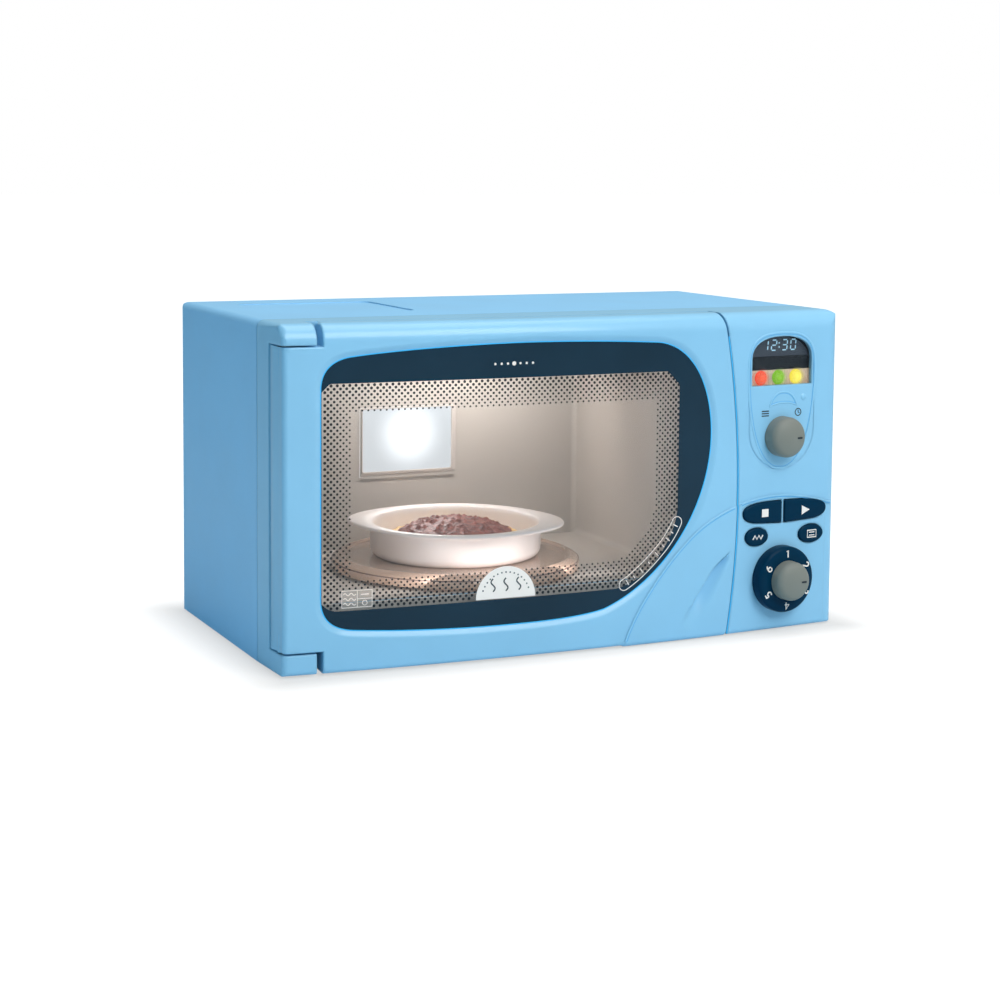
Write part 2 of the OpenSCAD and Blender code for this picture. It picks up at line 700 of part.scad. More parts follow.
lamp_lip = 3;
module lamp_window() color([0.93, 0.96, 0.98, 0.8]) in_frame() {
    along_y(oven_back - 1, oven_back) round_rect([table_x - lamp_w / 2 - lamp_lip, lamp_z - lamp_h / 2 - lamp_lip],
        [table_x + lamp_w / 2 + lamp_lip, lamp_z + lamp_h / 2 + lamp_lip], [2, 2, 2, 2]);
    along_y(oven_back - tiny, oven_back + liner_t) round_rect([table_x - lamp_w / 2 + 0.2, lamp_z - lamp_h / 2 + 0.2],
        [table_x + lamp_w / 2 - 0.2, lamp_z + lamp_h / 2 - 0.2], [1.3, 1.3, 1.3, 1.3]);
}

reflector_d = 9;
module lamp_reflector() color("white") in_frame() difference() {
    along_y(oven_back + liner_t, oven_back + liner_t + reflector_d) round_rect([table_x - lamp_w / 2 - 4, lamp_z - lamp_h / 2 - 4],
        [table_x + lamp_w / 2 + 4, lamp_z + lamp_h / 2 + 4], [3, 3, 3, 3]);
    along_y(oven_back, oven_back + liner_t + reflector_d - 1.6) round_rect([table_x - lamp_w / 2, lamp_z - lamp_h / 2],
        [table_x + lamp_w / 2, lamp_z + lamp_h / 2], [3, 3, 3, 3]);
    translate([table_x, body_d, lamp_z]) rotate([90, 0, 0]) cylinder(r = 3.1, h = 14);
}

module lamp_bulb() color([1, 0.95, 0.8]) in_frame() translate([table_x, oven_back + liner_t + reflector_d + 0.4, lamp_z]) rotate([90, 0, 0]) {
    cylinder(r = 3, h = 5);
    translate([0, 0, 5]) sphere(2.6);
}

module display_lens() color([0.2, 0.2, 0.24, 0.5]) in_frame() on_panel() {
    along_y(0.6, 2.1) polygon(display_points(-0.15));
    along_y(wall + 0.3, wall + 1.2) polygon(display_points(2.4));
    along_y(2.1 - tiny, wall + 0.31) polygon(display_points(-0.15));
}

screen_y = wall + 1.2;
strip_z = display_z + 7.9;
module display_screen() color([0.12, 0.12, 0.15]) in_frame() on_panel() intersection() {
    along_y(screen_y, screen_y + 1.2) polygon(display_points(2.4));
    translate([-40, 0, strip_z]) cube([80, 20, 60]);
}

light_z = strip_z - 4.1;
module light_strip() color([0.85, 0.72, 0.58]) in_frame() on_panel() difference() {
    intersection() {
        along_y(screen_y, screen_y + 1.2) polygon(display_points(2.4));
        translate([-40, 0, display_z - 10]) cube([80, 20, strip_z - display_z + 10 - 0.1]);
    }
    for (k = [-1 : 1]) panel_turned(light_z) translate([k * light_pitch, 0, -screen_y - 5]) cylinder(r = light_r + run_gap, h = 12);
}

// A round indicator light with a flange that sits behind its strip
module light(k) {
    on_panel() panel_turned(light_z) translate([k * light_pitch, 0, 0]) {
        translate([0, 0, -screen_y - 2.4]) cylinder(r = light_r, h = 2.4);
        translate([0, 0, -screen_y - 3.6]) cylinder(r = light_r + 0.9, h = 2.4);
    }
}
module light_red() color("tomato") in_frame() light(-1);
module light_green() color("yellowgreen") in_frame() light(0);
module light_yellow() color("gold") in_frame() light(1);

board_l = 23.6;
board_rt = 28;
module control_board() color([0.12, 0.42, 0.24]) in_frame() on_panel() difference() {
    union() {
        translate([-board_l, board_y, 14]) cube([board_l + board_rt, board_t, body_h - 34]);
        translate([-10, board_y + board_t, 62]) cube([14, 2.2, 14]);
        translate([-20, board_y + board_t, 92]) cube([8, 4, 5]);
        translate([10, board_y + board_t, 122]) cylinder(r = 3, h = 7);
    }
    for (z = [timer_z, dial_z]) panel_turned(z) translate([0, 0, -30]) cylinder(r = 4, h = 40);
}

// Rotary switch on the board that a knob's stem enters
module rotary_switch(z) {
    on_panel() difference() {
        translate([-9, board_y - 4.5, z - 9]) cube([18, 4.5, 18]);
        panel_turned(z) translate([0, 0, -30]) cylinder(r = stem_r + 0.3, h = 40);
    }
}
module timer_switch() color("dimgray") in_frame() rotary_switch(timer_z);
module power_switch() color("dimgray") in_frame() rotary_switch(dial_z);

// Middle of each push button's stem on the panel
stems = [[stop_l + 12, 63.3], [start_l - 13, 63.2], grill_c, oven_c];
pad_t = 0.9;
module button_pad() color([0.75, 0.75, 0.72]) in_frame() on_panel() {
    translate([-board_l + 0.6, board_y - pad_t, 45.8]) cube([board_l + board_rt, pad_t, 27]);
    for (p = stems) panel_turned(p[1]) translate([p[0], 0, -board_y]) cylinder(r = 4, h = 2.1);
}

module speaker() color("gray") in_frame() translate([speaker_x, speaker_y, wall]) {
    difference() {
        cylinder(r = speaker_r, h = 2);
        translate([0, 0, -1]) cylinder(r = speaker_r - 3, h = 2.4);
    }
    translate([0, 0, 2 - tiny]) cylinder(r = 10, h = 5);
}

seat_gap = 0.02;
module door_switch() color("dimgray") in_frame() on_front(latch_x) translate([0, 0, latch_z]) {
    translate([latch_t / 2 + 3.2, bezel_back + seat_gap, -6]) cube([6, 9, 12]);
    translate([-latch_t / 2, bezel_back + 5.6, -2.5]) cube([latch_t + 6, 0.8, 5]);
}

module batteries() color([0.3, 0.3, 0.33]) in_frame()
    for (k = [0 : battery_count - 1]) translate([bay_x - battery_l / 2 + 0.4, bay_y + (k - (battery_count - 1) / 2) * (2 * battery_r + 1), battery_z])
        rotate([0, 90, 0]) {
            cylinder(r = battery_r, h = battery_l - 1.5);
            cylinder(r = 2.6, h = battery_l);
        }

module battery_contacts() color("silver") in_frame() for (k = [0 : battery_count - 1], s = [-1, 1])
    translate([bay_x, bay_y + (k - (battery_count - 1) / 2) * (2 * battery_r + 1), battery_z]) {
        translate([s > 0 ? bay_l / 2 - 0.5 : -bay_l / 2, -5.5, -5.5]) cube([0.5, 11, 11]);
        rotate([0, s * 90, 0]) translate([0, 0, s > 0 ? battery_l / 2 + 0.4 : battery_l / 2 - 0.4])
            cylinder(r = s > 0 ? 2 : 3.4, h = bay_l / 2 - battery_l / 2 - (s > 0 ? 0.9 : 0.1));
    }

// Involute gear outline with its first tooth on the X axis
function gear_points(teeth, m) = let (
    rp = m * teeth / 2, rb = rp * cos(pressure_angle), ro = rp + 0.8 * m, rr = rp - 1.05 * m,
    inv = tan(pressure_angle) * 180 / PI - pressure_angle,
    half_tooth = 90 / teeth - backlash / 2 / rp * 180 / PI, n = 4)
    [for (k = [0 : teeth - 1]) let (a = k * 360 / teeth) each concat(
        rb > rr ? [rr * [cos(a - half_tooth - inv), sin(a - half_tooth - inv)]] : [],
        [for (i = [0 : n]) let (r = max(rb, rr) + (ro - max(rb, rr)) * i / n, t = sqrt(max(r * r / rb / rb - 1, 0)),
            d = half_tooth + inv - (t * 180 / PI - atan(t))) r * [cos(a - d), sin(a - d)]],
        [for (i = [n : -1 : 0]) let (r = max(rb, rr) + (ro - max(rb, rr)) * i / n, t = sqrt(max(r * r / rb / rb - 1, 0)),
            d = half_tooth + inv - (t * 180 / PI - atan(t))) r * [cos(a + d), sin(a + d)]],
        rb > rr ? [rr * [cos(a + half_tooth + inv), sin(a + half_tooth + inv)]] : [])];

module gear(teeth, m, t, turn = 0) {
    rotate([0, 0, turn]) linear_extrude(t) polygon(gear_points(teeth, m));
}

coupler_r = 5.6;
tray_l = motor_x - table_x + 22;
module gearbox_frame() color([0.8, 0.8, 0.78]) in_frame() difference() {
    union() {
        translate([table_x - 14, table_y - 14, tray_z]) cube([tray_l, 28, tray_t]);
        translate([table_x, table_y, tray_z + tray_t - tiny]) cylinder(r = spindle_r + 2.4, h = drive_z - tray_z - tray_t - 0.6);
        translate([idler_x, table_y, tray_z + tray_t - tiny]) cylinder(r = idler_post_r + 1.8, h = drive_z - tray_z - tray_t - 0.6);
        translate([idler_x, table_y, tray_z]) cylinder(r = idler_post_r, h = upper_z + gear_t + 0.8 - tray_z);
        difference() {
            translate([motor_x - 8, table_y - 7.5, tray_z + tray_t - tiny]) cube([16, 15, 6]);
            translate([motor_x - 6 - run_gap, table_y - 5 - run_gap, tray_z + tray_t]) cube([12 + 2 * run_gap, 10 + 2 * run_gap, 20]);
        }
    }
    translate([table_x, table_y, tray_z + 1]) cylinder(r = spindle_r + run_gap, h = 20);
}

module motor() color("silver") in_frame() translate([motor_x, table_y, tray_z + tray_t]) difference() {
    intersection() {
        translate([-6, -5, 0]) cube([12, 10, motor_body_l]);
        cylinder(r = 6, h = motor_body_l);
    }
    translate([0, 0, motor_body_l - 4]) cylinder(r = 0.75 + run_gap, h = 5);
}

module hinge_pins() color("silver") in_frame() for (z = [lug_h - hinge_pin_l / 2, body_h - lug_h - hinge_pin_l / 2])
    translate([hinge_x, hinge_y, z]) cylinder(r = pin_r, h = hinge_pin_l);

// The finger pull: a long hollow that runs out at both ends, its wall thickened by e
module finger_pull(e) {
    translate([pull_x, bow_at(pull_x) - swoosh_h + pull_deep - pull_path, pull_z])
        rotate([0, -pull_slope, 0]) rotate([0, 0, 65]) rotate_extrude(angle = 50, $fn = 180)
            translate([pull_path - pull_r, 0]) circle(pull_r + e, $fn = 48);
}

pull_x = door_x - 15.5;
pull_z = 27;
pull_slope = 54;
pull_r = 10;
pull_path = 70;
pull_deep = 3.6;

// What is cut off the door's rear corner so that it turns clear of the cabinet
module knuckle_cut() difference() {
    translate([-half_w - 5, hinge_y, -1]) cube([hinge_x + half_w + 5, 30, body_h + 2]);
    translate([hinge_x, hinge_y, -2]) cylinder(r = door_d - hinge_y, h = body_h + 4);
}

module door_frame() color(blue) in_frame() difference() {
    union() {
        difference() {
            intersection() {
                union() {
                    front_block(0, door_d + 5);
                    intersection() {
                        front_block(0, door_d + 5, swoosh_h);
                        swoosh_zone();
                    }
                }
                door_zone(0, door_d + 5);
            }
            difference() {
                intersection() {
                    front_block(wall, door_d + 8);
                    door_zone(wall, door_d + 8);
                }
                lug_zone(notch_end, lug_h + lug_clear, wall);
                finger_pull(wall);
            }
        }
        intersection() {
            front_block(0.4, door_d - 4);
            for (z = [lug_h + lug_clear, body_h - lug_h - lug_clear - 9]) translate([hinge_x, hinge_y, z]) cylinder(r = pin_r + 2.4, h = 9);
        }
        for (p = door_bosses) on_front(p[0]) translate([0, wall / 2, p[1]]) rotate([-90, 0, 0]) cylinder(r = 2.6, h = lining_y - wall / 2);
    }
    inside_bow(door_d);
    knuckle_cut();
    lug_zone(notch_end, lug_h + lug_clear, 0);
    along_y(-front_bow - 10, door_d - 4) polygon(win);
    lip_cut();
    finger_pull(0);
    translate([hinge_x, hinge_y, lug_h]) cylinder(r = pin_r + run_gap, h = hinge_pin_l / 2 + 0.6);
    translate([hinge_x, hinge_y, body_h - lug_h - hinge_pin_l / 2 - 0.6]) cylinder(r = pin_r + run_gap, h = hinge_pin_l / 2 + 1);
    for (p = door_bosses) on_front(p[0]) translate([0, lining_y - 6, p[1]]) rotate([-90, 0, 0]) cylinder(r = 1.1, h = 8);
}

// Wedge that cuts the sloping lip: two rings of the window outline at different depths
module lip_cut() {
    slope = (win_recess - 0.1) / win_lip;
    inner = grown(win, -0.3);
    outer = grown(win, win_lip + 0.5);
    n = len(win);
    mid = [(win_l + win_r) / 2, (win_b + win_t) / 2];
    polyhedron(points = concat(
        [for (p = inner) [p[0], bow_at(p[0]) + slope * (win_lip + 0.3), p[1]]],
        [for (p = outer) [p[0], bow_at(p[0]) - slope * 0.5, p[1]]],
        [[mid[0], 0, mid[1]], [mid[0], -2 * front_bow, mid[1]]]),
        faces = [for (i = [0 : n - 1]) let (j = (i + 1) % n)
            each [[i, j, n + i], [j, n + j, n + i], [j, i, 2 * n], [n + i, n + j, 2 * n + 1]]]);
}

lining_t = 2;
lining_y = door_d - 0.4 - lining_t;
door_bosses = [[win_l - 8, body_h / 2], [(win_l + win_r) / 2, 8.5], [door_x - 18, body_h - 12], [door_x - 9.5, 60]];

module door_glass() color([0.6, 0.66, 0.7, 0.35]) in_frame() {
    intersection() {
        bowed_band(glass_front, glass_front + glass_t);
        along_y(-front_bow - 8, 12) polygon(grown(win, glass_flange));
    }
    intersection() {
        bowed_band(win_recess, glass_front + tiny);
        along_y(-front_bow - 8, 12) polygon(grown(win, -0.2));
    }
}

// Band that follows the bowed front, from depth d0 to depth d1 below it
module bowed_band(d0, d1) {
    translate([0, bow_y, 0]) rotate([0, 0, 270 - bow_half]) rotate_extrude(angle = 2 * bow_half, $fn = bow_fn)
        translate([bow_r - d1, 0]) square([d1 - d0, body_h]);
}

lining_r = 1.5;
module door_lining() color(cream) in_frame() difference() {
    intersection() {
        bowed_band(lining_y, lining_y + lining_t);
        front_block(wall + fit_gap, door_d + 5);
        door_zone(wall + fit_gap, door_d + 5);
    }
    lug_zone(notch_end, lug_h + lug_clear, wall + fit_gap);
    translate([hinge_x, hinge_y, -1]) cylinder(r = pin_r + 3.4, h = body_h + 2);
    along_y(-5, door_d + 5) round_rect([win_l + 4, oven_floor + 0.5], [win_r - 4, oven_top - 4.5],
        [1, 1, 1, 1] * lining_r);
    for (p = door_bosses) on_front(p[0]) translate([0, lining_y - 2, p[1]]) rotate([-90, 0, 0]) cylinder(r = 1.3, h = 8);
}

module door_latch() color(cream) in_frame() on_front(latch_x) translate([0, lining_y + lining_t, latch_z]) {
    translate([-3, 0, -9]) cube([6, 1, 18]);
    translate([-latch_t / 2, 0, -6]) cube([latch_t, 9, 12]);
    translate([-latch_t / 2, 6, -6]) cube([latch_t + 1, 3, 12]);
}

module door_screws() color("silver") in_frame() for (p = door_bosses)
    on_front(p[0]) translate([0, lining_y + lining_t, p[1]]) rotate([90, 0, 0]) {
        translate([0, 0, -0.3]) cylinder(r = 2, h = 0.3);
        cylinder(r = 1.05, h = 6);
    }

module turntable() color([0.62, 0.47, 0.38, 0.55]) in_frame() translate([table_x, table_y, 0]) difference() {
    rotate_extrude($fn = 128) polygon([[0, plate_z - plate_t], [plate_r - 7, plate_z - plate_t], [plate_r - 4.4, plate_z - plate_t - 0.6],
        [plate_r - 2.2, plate_z - plate_t - 2.4], [plate_r - 1.7, plate_z - 6], [plate_r, plate_z - 6],
        [plate_r - 0.1, plate_z - 3.2], [plate_r - 1.2, plate_z - 1.2], [plate_r - 3.4, plate_z - 0.1], [plate_r - 5, plate_z + 0.5],
        [plate_r - 6.6, plate_z + 0.2], [plate_r - 8, plate_z - 0.4], [0, plate_z - 0.4]]);
    translate([0, 0, plate_z - plate_t - 1]) linear_extrude(1.6) coupler_outline(0.2);
}

// Three-armed outline that the coupler and the turntable share
module coupler_outline(g) {
    circle(3 + g);
    for (a = [0, 120, 240]) rotate(a) translate([-1.4 - g, 0]) square([2.8 + 2 * g, coupler_r - 0.8 + g]);
}

module turntable_coupler() color("white") in_frame() translate([table_x, table_y, 0]) difference() {
    union() {
        translate([0, 0, oven_floor + 0.8]) cylinder(r = coupler_r, h = plate_z - plate_t - oven_floor - 0.8);
        translate([0, 0, plate_z - plate_t - tiny]) linear_extrude(0.6) coupler_outline(0);
        translate([0, 0, under_oven - 1]) cylinder(r = coupler_r - 0.6, h = 4);
    }
    translate([0, 0, under_oven - 2]) cylinder(r = spindle_r, h = 6);
}

module turntable_gear() color("white") in_frame() translate([table_x, table_y, 0]) {
    translate([0, 0, drive_z]) gear(drive_teeth, drive_module, gear_t);
    translate([0, 0, tray_z + 1.2]) cylinder(r = spindle_r, h = under_oven + 4 - tray_z - 1.2);
    translate([0, 0, drive_z]) cylinder(r = spindle_r + 3, h = gear_t + 1);
}

rim_out = 51;
ear_out = 58;
ear_turn = -30;
module dish() color("whitesmoke") in_frame() translate([table_x, table_y, plate_z + 0.5 - 0.9]) difference() {
    union() {
        rotate_extrude() polygon(concat([[0, 0]], arc([dish_r - 7, 7], 7, 270, 360, 6), [[dish_r, dish_h - dish_t], [0, dish_h - dish_t]]));
        translate([0, 0, dish_h - dish_t]) rotate([0, 0, ear_turn]) linear_extrude(dish_t) polygon([for (i = [0 : 71])
            let (a = i * 5) (dish_r + 4.6 + (ear_out - rim_out) * pow(abs(cos(a)), 6)) * [cos(a), sin(a)]]);
    }
    translate([0, 0, dish_t]) rotate_extrude() polygon(concat([[0, 0]], arc([dish_r - dish_t - 5.2, 5.2], 5.2, 270, 360, 6),
        [[dish_r - dish_t, dish_h], [0, dish_h]]));
}

food_z = plate_z + 0.5 - 0.9 + dish_t;
pasta_r = 38;
sauce_r = 33;
module pasta() color([0.95, 0.75, 0.3]) in_frame() translate([table_x, table_y, food_z]) cap(pasta_r, 13.5, 8);

module sauce() color([0.42, 0.2, 0.17]) in_frame() translate([table_x, table_y, food_z]) difference() {
    cap(sauce_r, 19.5, 8);
    cap(pasta_r, 13.5, 8);
}

// Low mound of radius r and height h whose side starts upright for s
module cap(r, h, s) {
    big = (r * r + (h - s) * (h - s)) / (2 * (h - s));
    intersection() {
        cylinder(r = r, h = h + 1);
        translate([0, 0, h - big]) sphere(big, $fn = 128);
    }
}

module idler_gear() color("gainsboro") in_frame() translate([idler_x, table_y, 0]) difference() {
    union() {
        translate([0, 0, drive_z]) gear(idler_small_teeth, drive_module, upper_z - drive_z, idler_small_teeth % 2 == 0 ? 180 / idler_small_teeth : 0);
        translate([0, 0, upper_z]) gear(idler_large_teeth, motor_module, gear_t);
    }
    translate([0, 0, drive_z - 1]) cylinder(r = idler_post_r + run_gap, h = 20);
}

module motor_pinion() color("goldenrod") in_frame() translate([motor_x, table_y, 0]) {
    translate([0, 0, upper_z]) gear(pinion_teeth, motor_module, gear_t, pinion_teeth % 2 == 0 ? 180 / pinion_teeth : 0);
    translate([0, 0, tray_z + tray_t + motor_body_l - 3.6]) cylinder(r = 0.75, h = upper_z + gear_t - (tray_z + tray_t + motor_body_l - 3.6));
}

module timer_knob() color(warm_grey) in_frame() on_panel() panel_turned(timer_z) {
    translate([0, 0, -board_y + 0.6]) cylinder(r = stem_r, h = board_y);
    translate([0, 0, fit_gap]) rotate_extrude() polygon(concat([[0, 0], [timer_r, 0], [timer_r - 0.2, timer_h - 4]],
        arc([timer_r - 0.2 - 3, timer_h - 4], 3, 0, 70, 6), [[3, timer_h - 0.2], [0, timer_h]]));
}

module power_dial() color(teal) in_frame() on_panel() panel_turned(dial_z) {
    translate([0, 0, -board_y + 0.6]) cylinder(r = stem_r, h = board_y);
    translate([0, 0, swoosh_h + fit_gap]) rotate_extrude() polygon(concat([[0, -swoosh_h], [stem_r, -swoosh_h], [stem_r, 0], [dial_r, 0]],
        arc([dial_r - 3, dial_h - 3.2], 2.6, 10, 70, 6), [[grip_r + 1.5, dial_h], [0, dial_h]]));
}

module power_grip() color(warm_grey) in_frame() on_panel() panel_turned(dial_z) translate([0, 0, swoosh_h + fit_gap + dial_h])
    rotate_extrude() polygon(concat([[0, 0], [grip_r, 0], [grip_r - 0.3, grip_h - 3.5]],
        arc([grip_r - 0.3 - 2.6, grip_h - 3.5], 2.6, 0, 70, 6), [[3, grip_h - 0.15], [0, grip_h]]));

// A push button: child 0 draws its cap, child 1 its flange, and its stem stands at p
module button_body(p) {
    stem_l = board_y - 2.1 - press - 0.2 - flange_y;
    on_panel() {
        along_y(-swoosh_h - button_up, flange_y + tiny) children(0);
        along_y(flange_y, flange_y + flange_t) children(1);
        panel_turned(p[1]) translate([p[0], 0, -flange_y - stem_l]) cylinder(r = 2.4, h = stem_l);
    }
}

module stop_button() color(teal) in_frame() button_body(stems[0]) {
    stop_outline(0);
    stop_outline(0.6);
}
module start_button() color(teal) in_frame() button_body(stems[1]) {
    start_outline(0);
    start_outline(0.6);
}
module grill_button() color(teal) in_frame() button_body(stems[2]) {
    grill_outline(0);
    grill_outline(1.4);
}
module oven_button() color(teal) in_frame() button_body(stems[3]) {
    oven_outline(0);
    oven_outline(1.4);
}

front_casing();
outer_case();
rear_cover();
base_plate();
battery_cover();
battery_cover_screw();
casing_screws();
foot_front_left();
foot_front_right();
foot_rear_left();
foot_rear_right();
oven_liner();
lamp_window();
lamp_reflector();
lamp_bulb();
display_lens();
display_screen();
light_strip();
light_red();
light_green();
light_yellow();
control_board();
timer_switch();
power_switch();
button_pad();
speaker();
door_switch();
batteries();
battery_contacts();
gearbox_frame();
motor();
hinge_pins();
door_frame();
door_glass();
door_lining();
door_latch();
door_screws();
turntable();
turntable_coupler();
turntable_gear();
dish();
pasta();
sauce();
idler_gear();
motor_pinion();
timer_knob();
power_dial();
power_grip();
stop_button();
start_button();
grill_button();
oven_button();
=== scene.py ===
"""Toy microwave oven: the finished surfaces of its pieces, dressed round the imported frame.

Lengths are in millimetres, measured from the middle of the front at the foot of the shell,
with X to the right, Y inwards and Z up. They become metres in the frame as a mesh is made.
"""
import logging
import math
from collections.abc import Callable, Sequence
from dataclasses import dataclass, field, replace
from enum import Enum

import bmesh
import bpy
import numpy as np
from mathutils import Matrix, Vector


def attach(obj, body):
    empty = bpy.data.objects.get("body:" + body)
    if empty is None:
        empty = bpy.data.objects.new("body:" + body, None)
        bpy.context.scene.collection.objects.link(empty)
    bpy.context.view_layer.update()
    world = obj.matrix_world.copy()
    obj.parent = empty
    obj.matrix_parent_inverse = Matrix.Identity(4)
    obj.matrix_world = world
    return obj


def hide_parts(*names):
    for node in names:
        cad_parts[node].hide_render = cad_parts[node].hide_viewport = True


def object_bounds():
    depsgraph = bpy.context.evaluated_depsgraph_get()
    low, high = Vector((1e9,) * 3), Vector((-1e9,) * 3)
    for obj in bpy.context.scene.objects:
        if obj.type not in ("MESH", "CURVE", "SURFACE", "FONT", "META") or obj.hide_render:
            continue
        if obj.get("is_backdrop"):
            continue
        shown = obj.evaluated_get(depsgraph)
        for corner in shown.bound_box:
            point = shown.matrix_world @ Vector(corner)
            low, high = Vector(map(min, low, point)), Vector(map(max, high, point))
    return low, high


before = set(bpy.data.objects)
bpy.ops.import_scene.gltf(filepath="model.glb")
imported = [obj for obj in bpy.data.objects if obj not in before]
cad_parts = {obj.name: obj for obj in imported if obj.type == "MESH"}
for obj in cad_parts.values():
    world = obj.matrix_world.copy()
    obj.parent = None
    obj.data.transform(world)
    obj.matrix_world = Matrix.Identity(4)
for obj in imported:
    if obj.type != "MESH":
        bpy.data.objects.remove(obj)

log = logging.getLogger("toy_oven")
Array = np.ndarray
Point = Sequence[float]
Path = Array | list[Point]
Colour = tuple[int, int, int]
Tone = tuple[float, float, float, float]
Place = Callable[[Array, Array, Array], Array]
Sockets = dict[str | int, object]

METRE = 0.001
TURN = 2 * math.pi
# How far the photograph's millimetres are moved in the frame: inwards, and up by the feet.
FRAME_Y = -73.69295
FOOT_H = 1.2
# The middle of the window in the front view, which the rings and rays of the door start from.
WINDOW_MID = np.array([-33.5, 86.0])
# The foot of a print lies this far under the face that it is on.
PRINT_FOOT = -0.02
# Where the two tones of a finish stand on its noise, and how far the noise moves the roughness.
TONE_PLACES = (0.35, 0.65)
ROUGH_SWING = 0.05
# Numbers of a colour mix's sockets, whose names it uses more than once.
MIX_FACTOR, MIX_FIRST, MIX_SECOND, MIX_COLOUR = 0, 6, 7, 2


class Body(Enum):
    """The bodies of the frame that pieces ride on."""

    CABINET = "cabinet"
    DOOR = "door"
    TURNTABLE = "turntable"
    TIMER = "timer"
    DIAL = "dial"
    STOP = "stop"
    START = "start"
    GRILL = "grill"
    OVEN = "oven"


class Grain(Enum):
    """How the fine surface of a finish is broken up."""

    SATIN = "satin"
    RIBBED = "ribbed"
    LUMPY = "lumpy"
    BRUSHED = "brushed"


def linear(rgb: Colour) -> tuple[float, ...]:
    """Turn a display colour of 0 to 255 into scene-linear values.

    Args:
        rgb: Red, green and blue as a screen shows them.

    Returns:
        The three linear values.
    """
    parts = [c / 255 for c in rgb]
    return tuple(p / 12.92 if p <= 0.04045 else ((p + 0.055) / 1.055) ** 2.4 for p in parts)


class NodeTree:
    """The nodes of a material or of the world, with short calls to add, set and join them."""

    def __init__(self, tree: bpy.types.NodeTree) -> None:
        """Keep the tree's nodes and links."""
        self.nodes, self.links = tree.nodes, tree.links

    def fill(self, node: bpy.types.Node, sockets: Sockets) -> None:
        """Fill a node's sockets.

        Args:
            node: The node.
            sockets: For each socket its constant value, or the output that is joined to it.
        """
        for key, value in sockets.items():
            if isinstance(value, bpy.types.NodeSocket):
                self.links.new(value, node.inputs[key])
            else:
                node.inputs[key].default_value = value

    def add(self, kind: str, sockets: Sockets | None = None, **choices: str | int) -> bpy.types.Node:
        """Add a node.

        Args:
            kind: Its type, without the word that every shader node's type starts with.
            sockets: What its sockets hold.
            choices: Its own settings.

        Returns:
            The new node.
        """
        node = self.nodes.new("ShaderNode" + kind)
        for name, value in choices.items():
            setattr(node, name, value)
        self.fill(node, sockets or {})
        return node


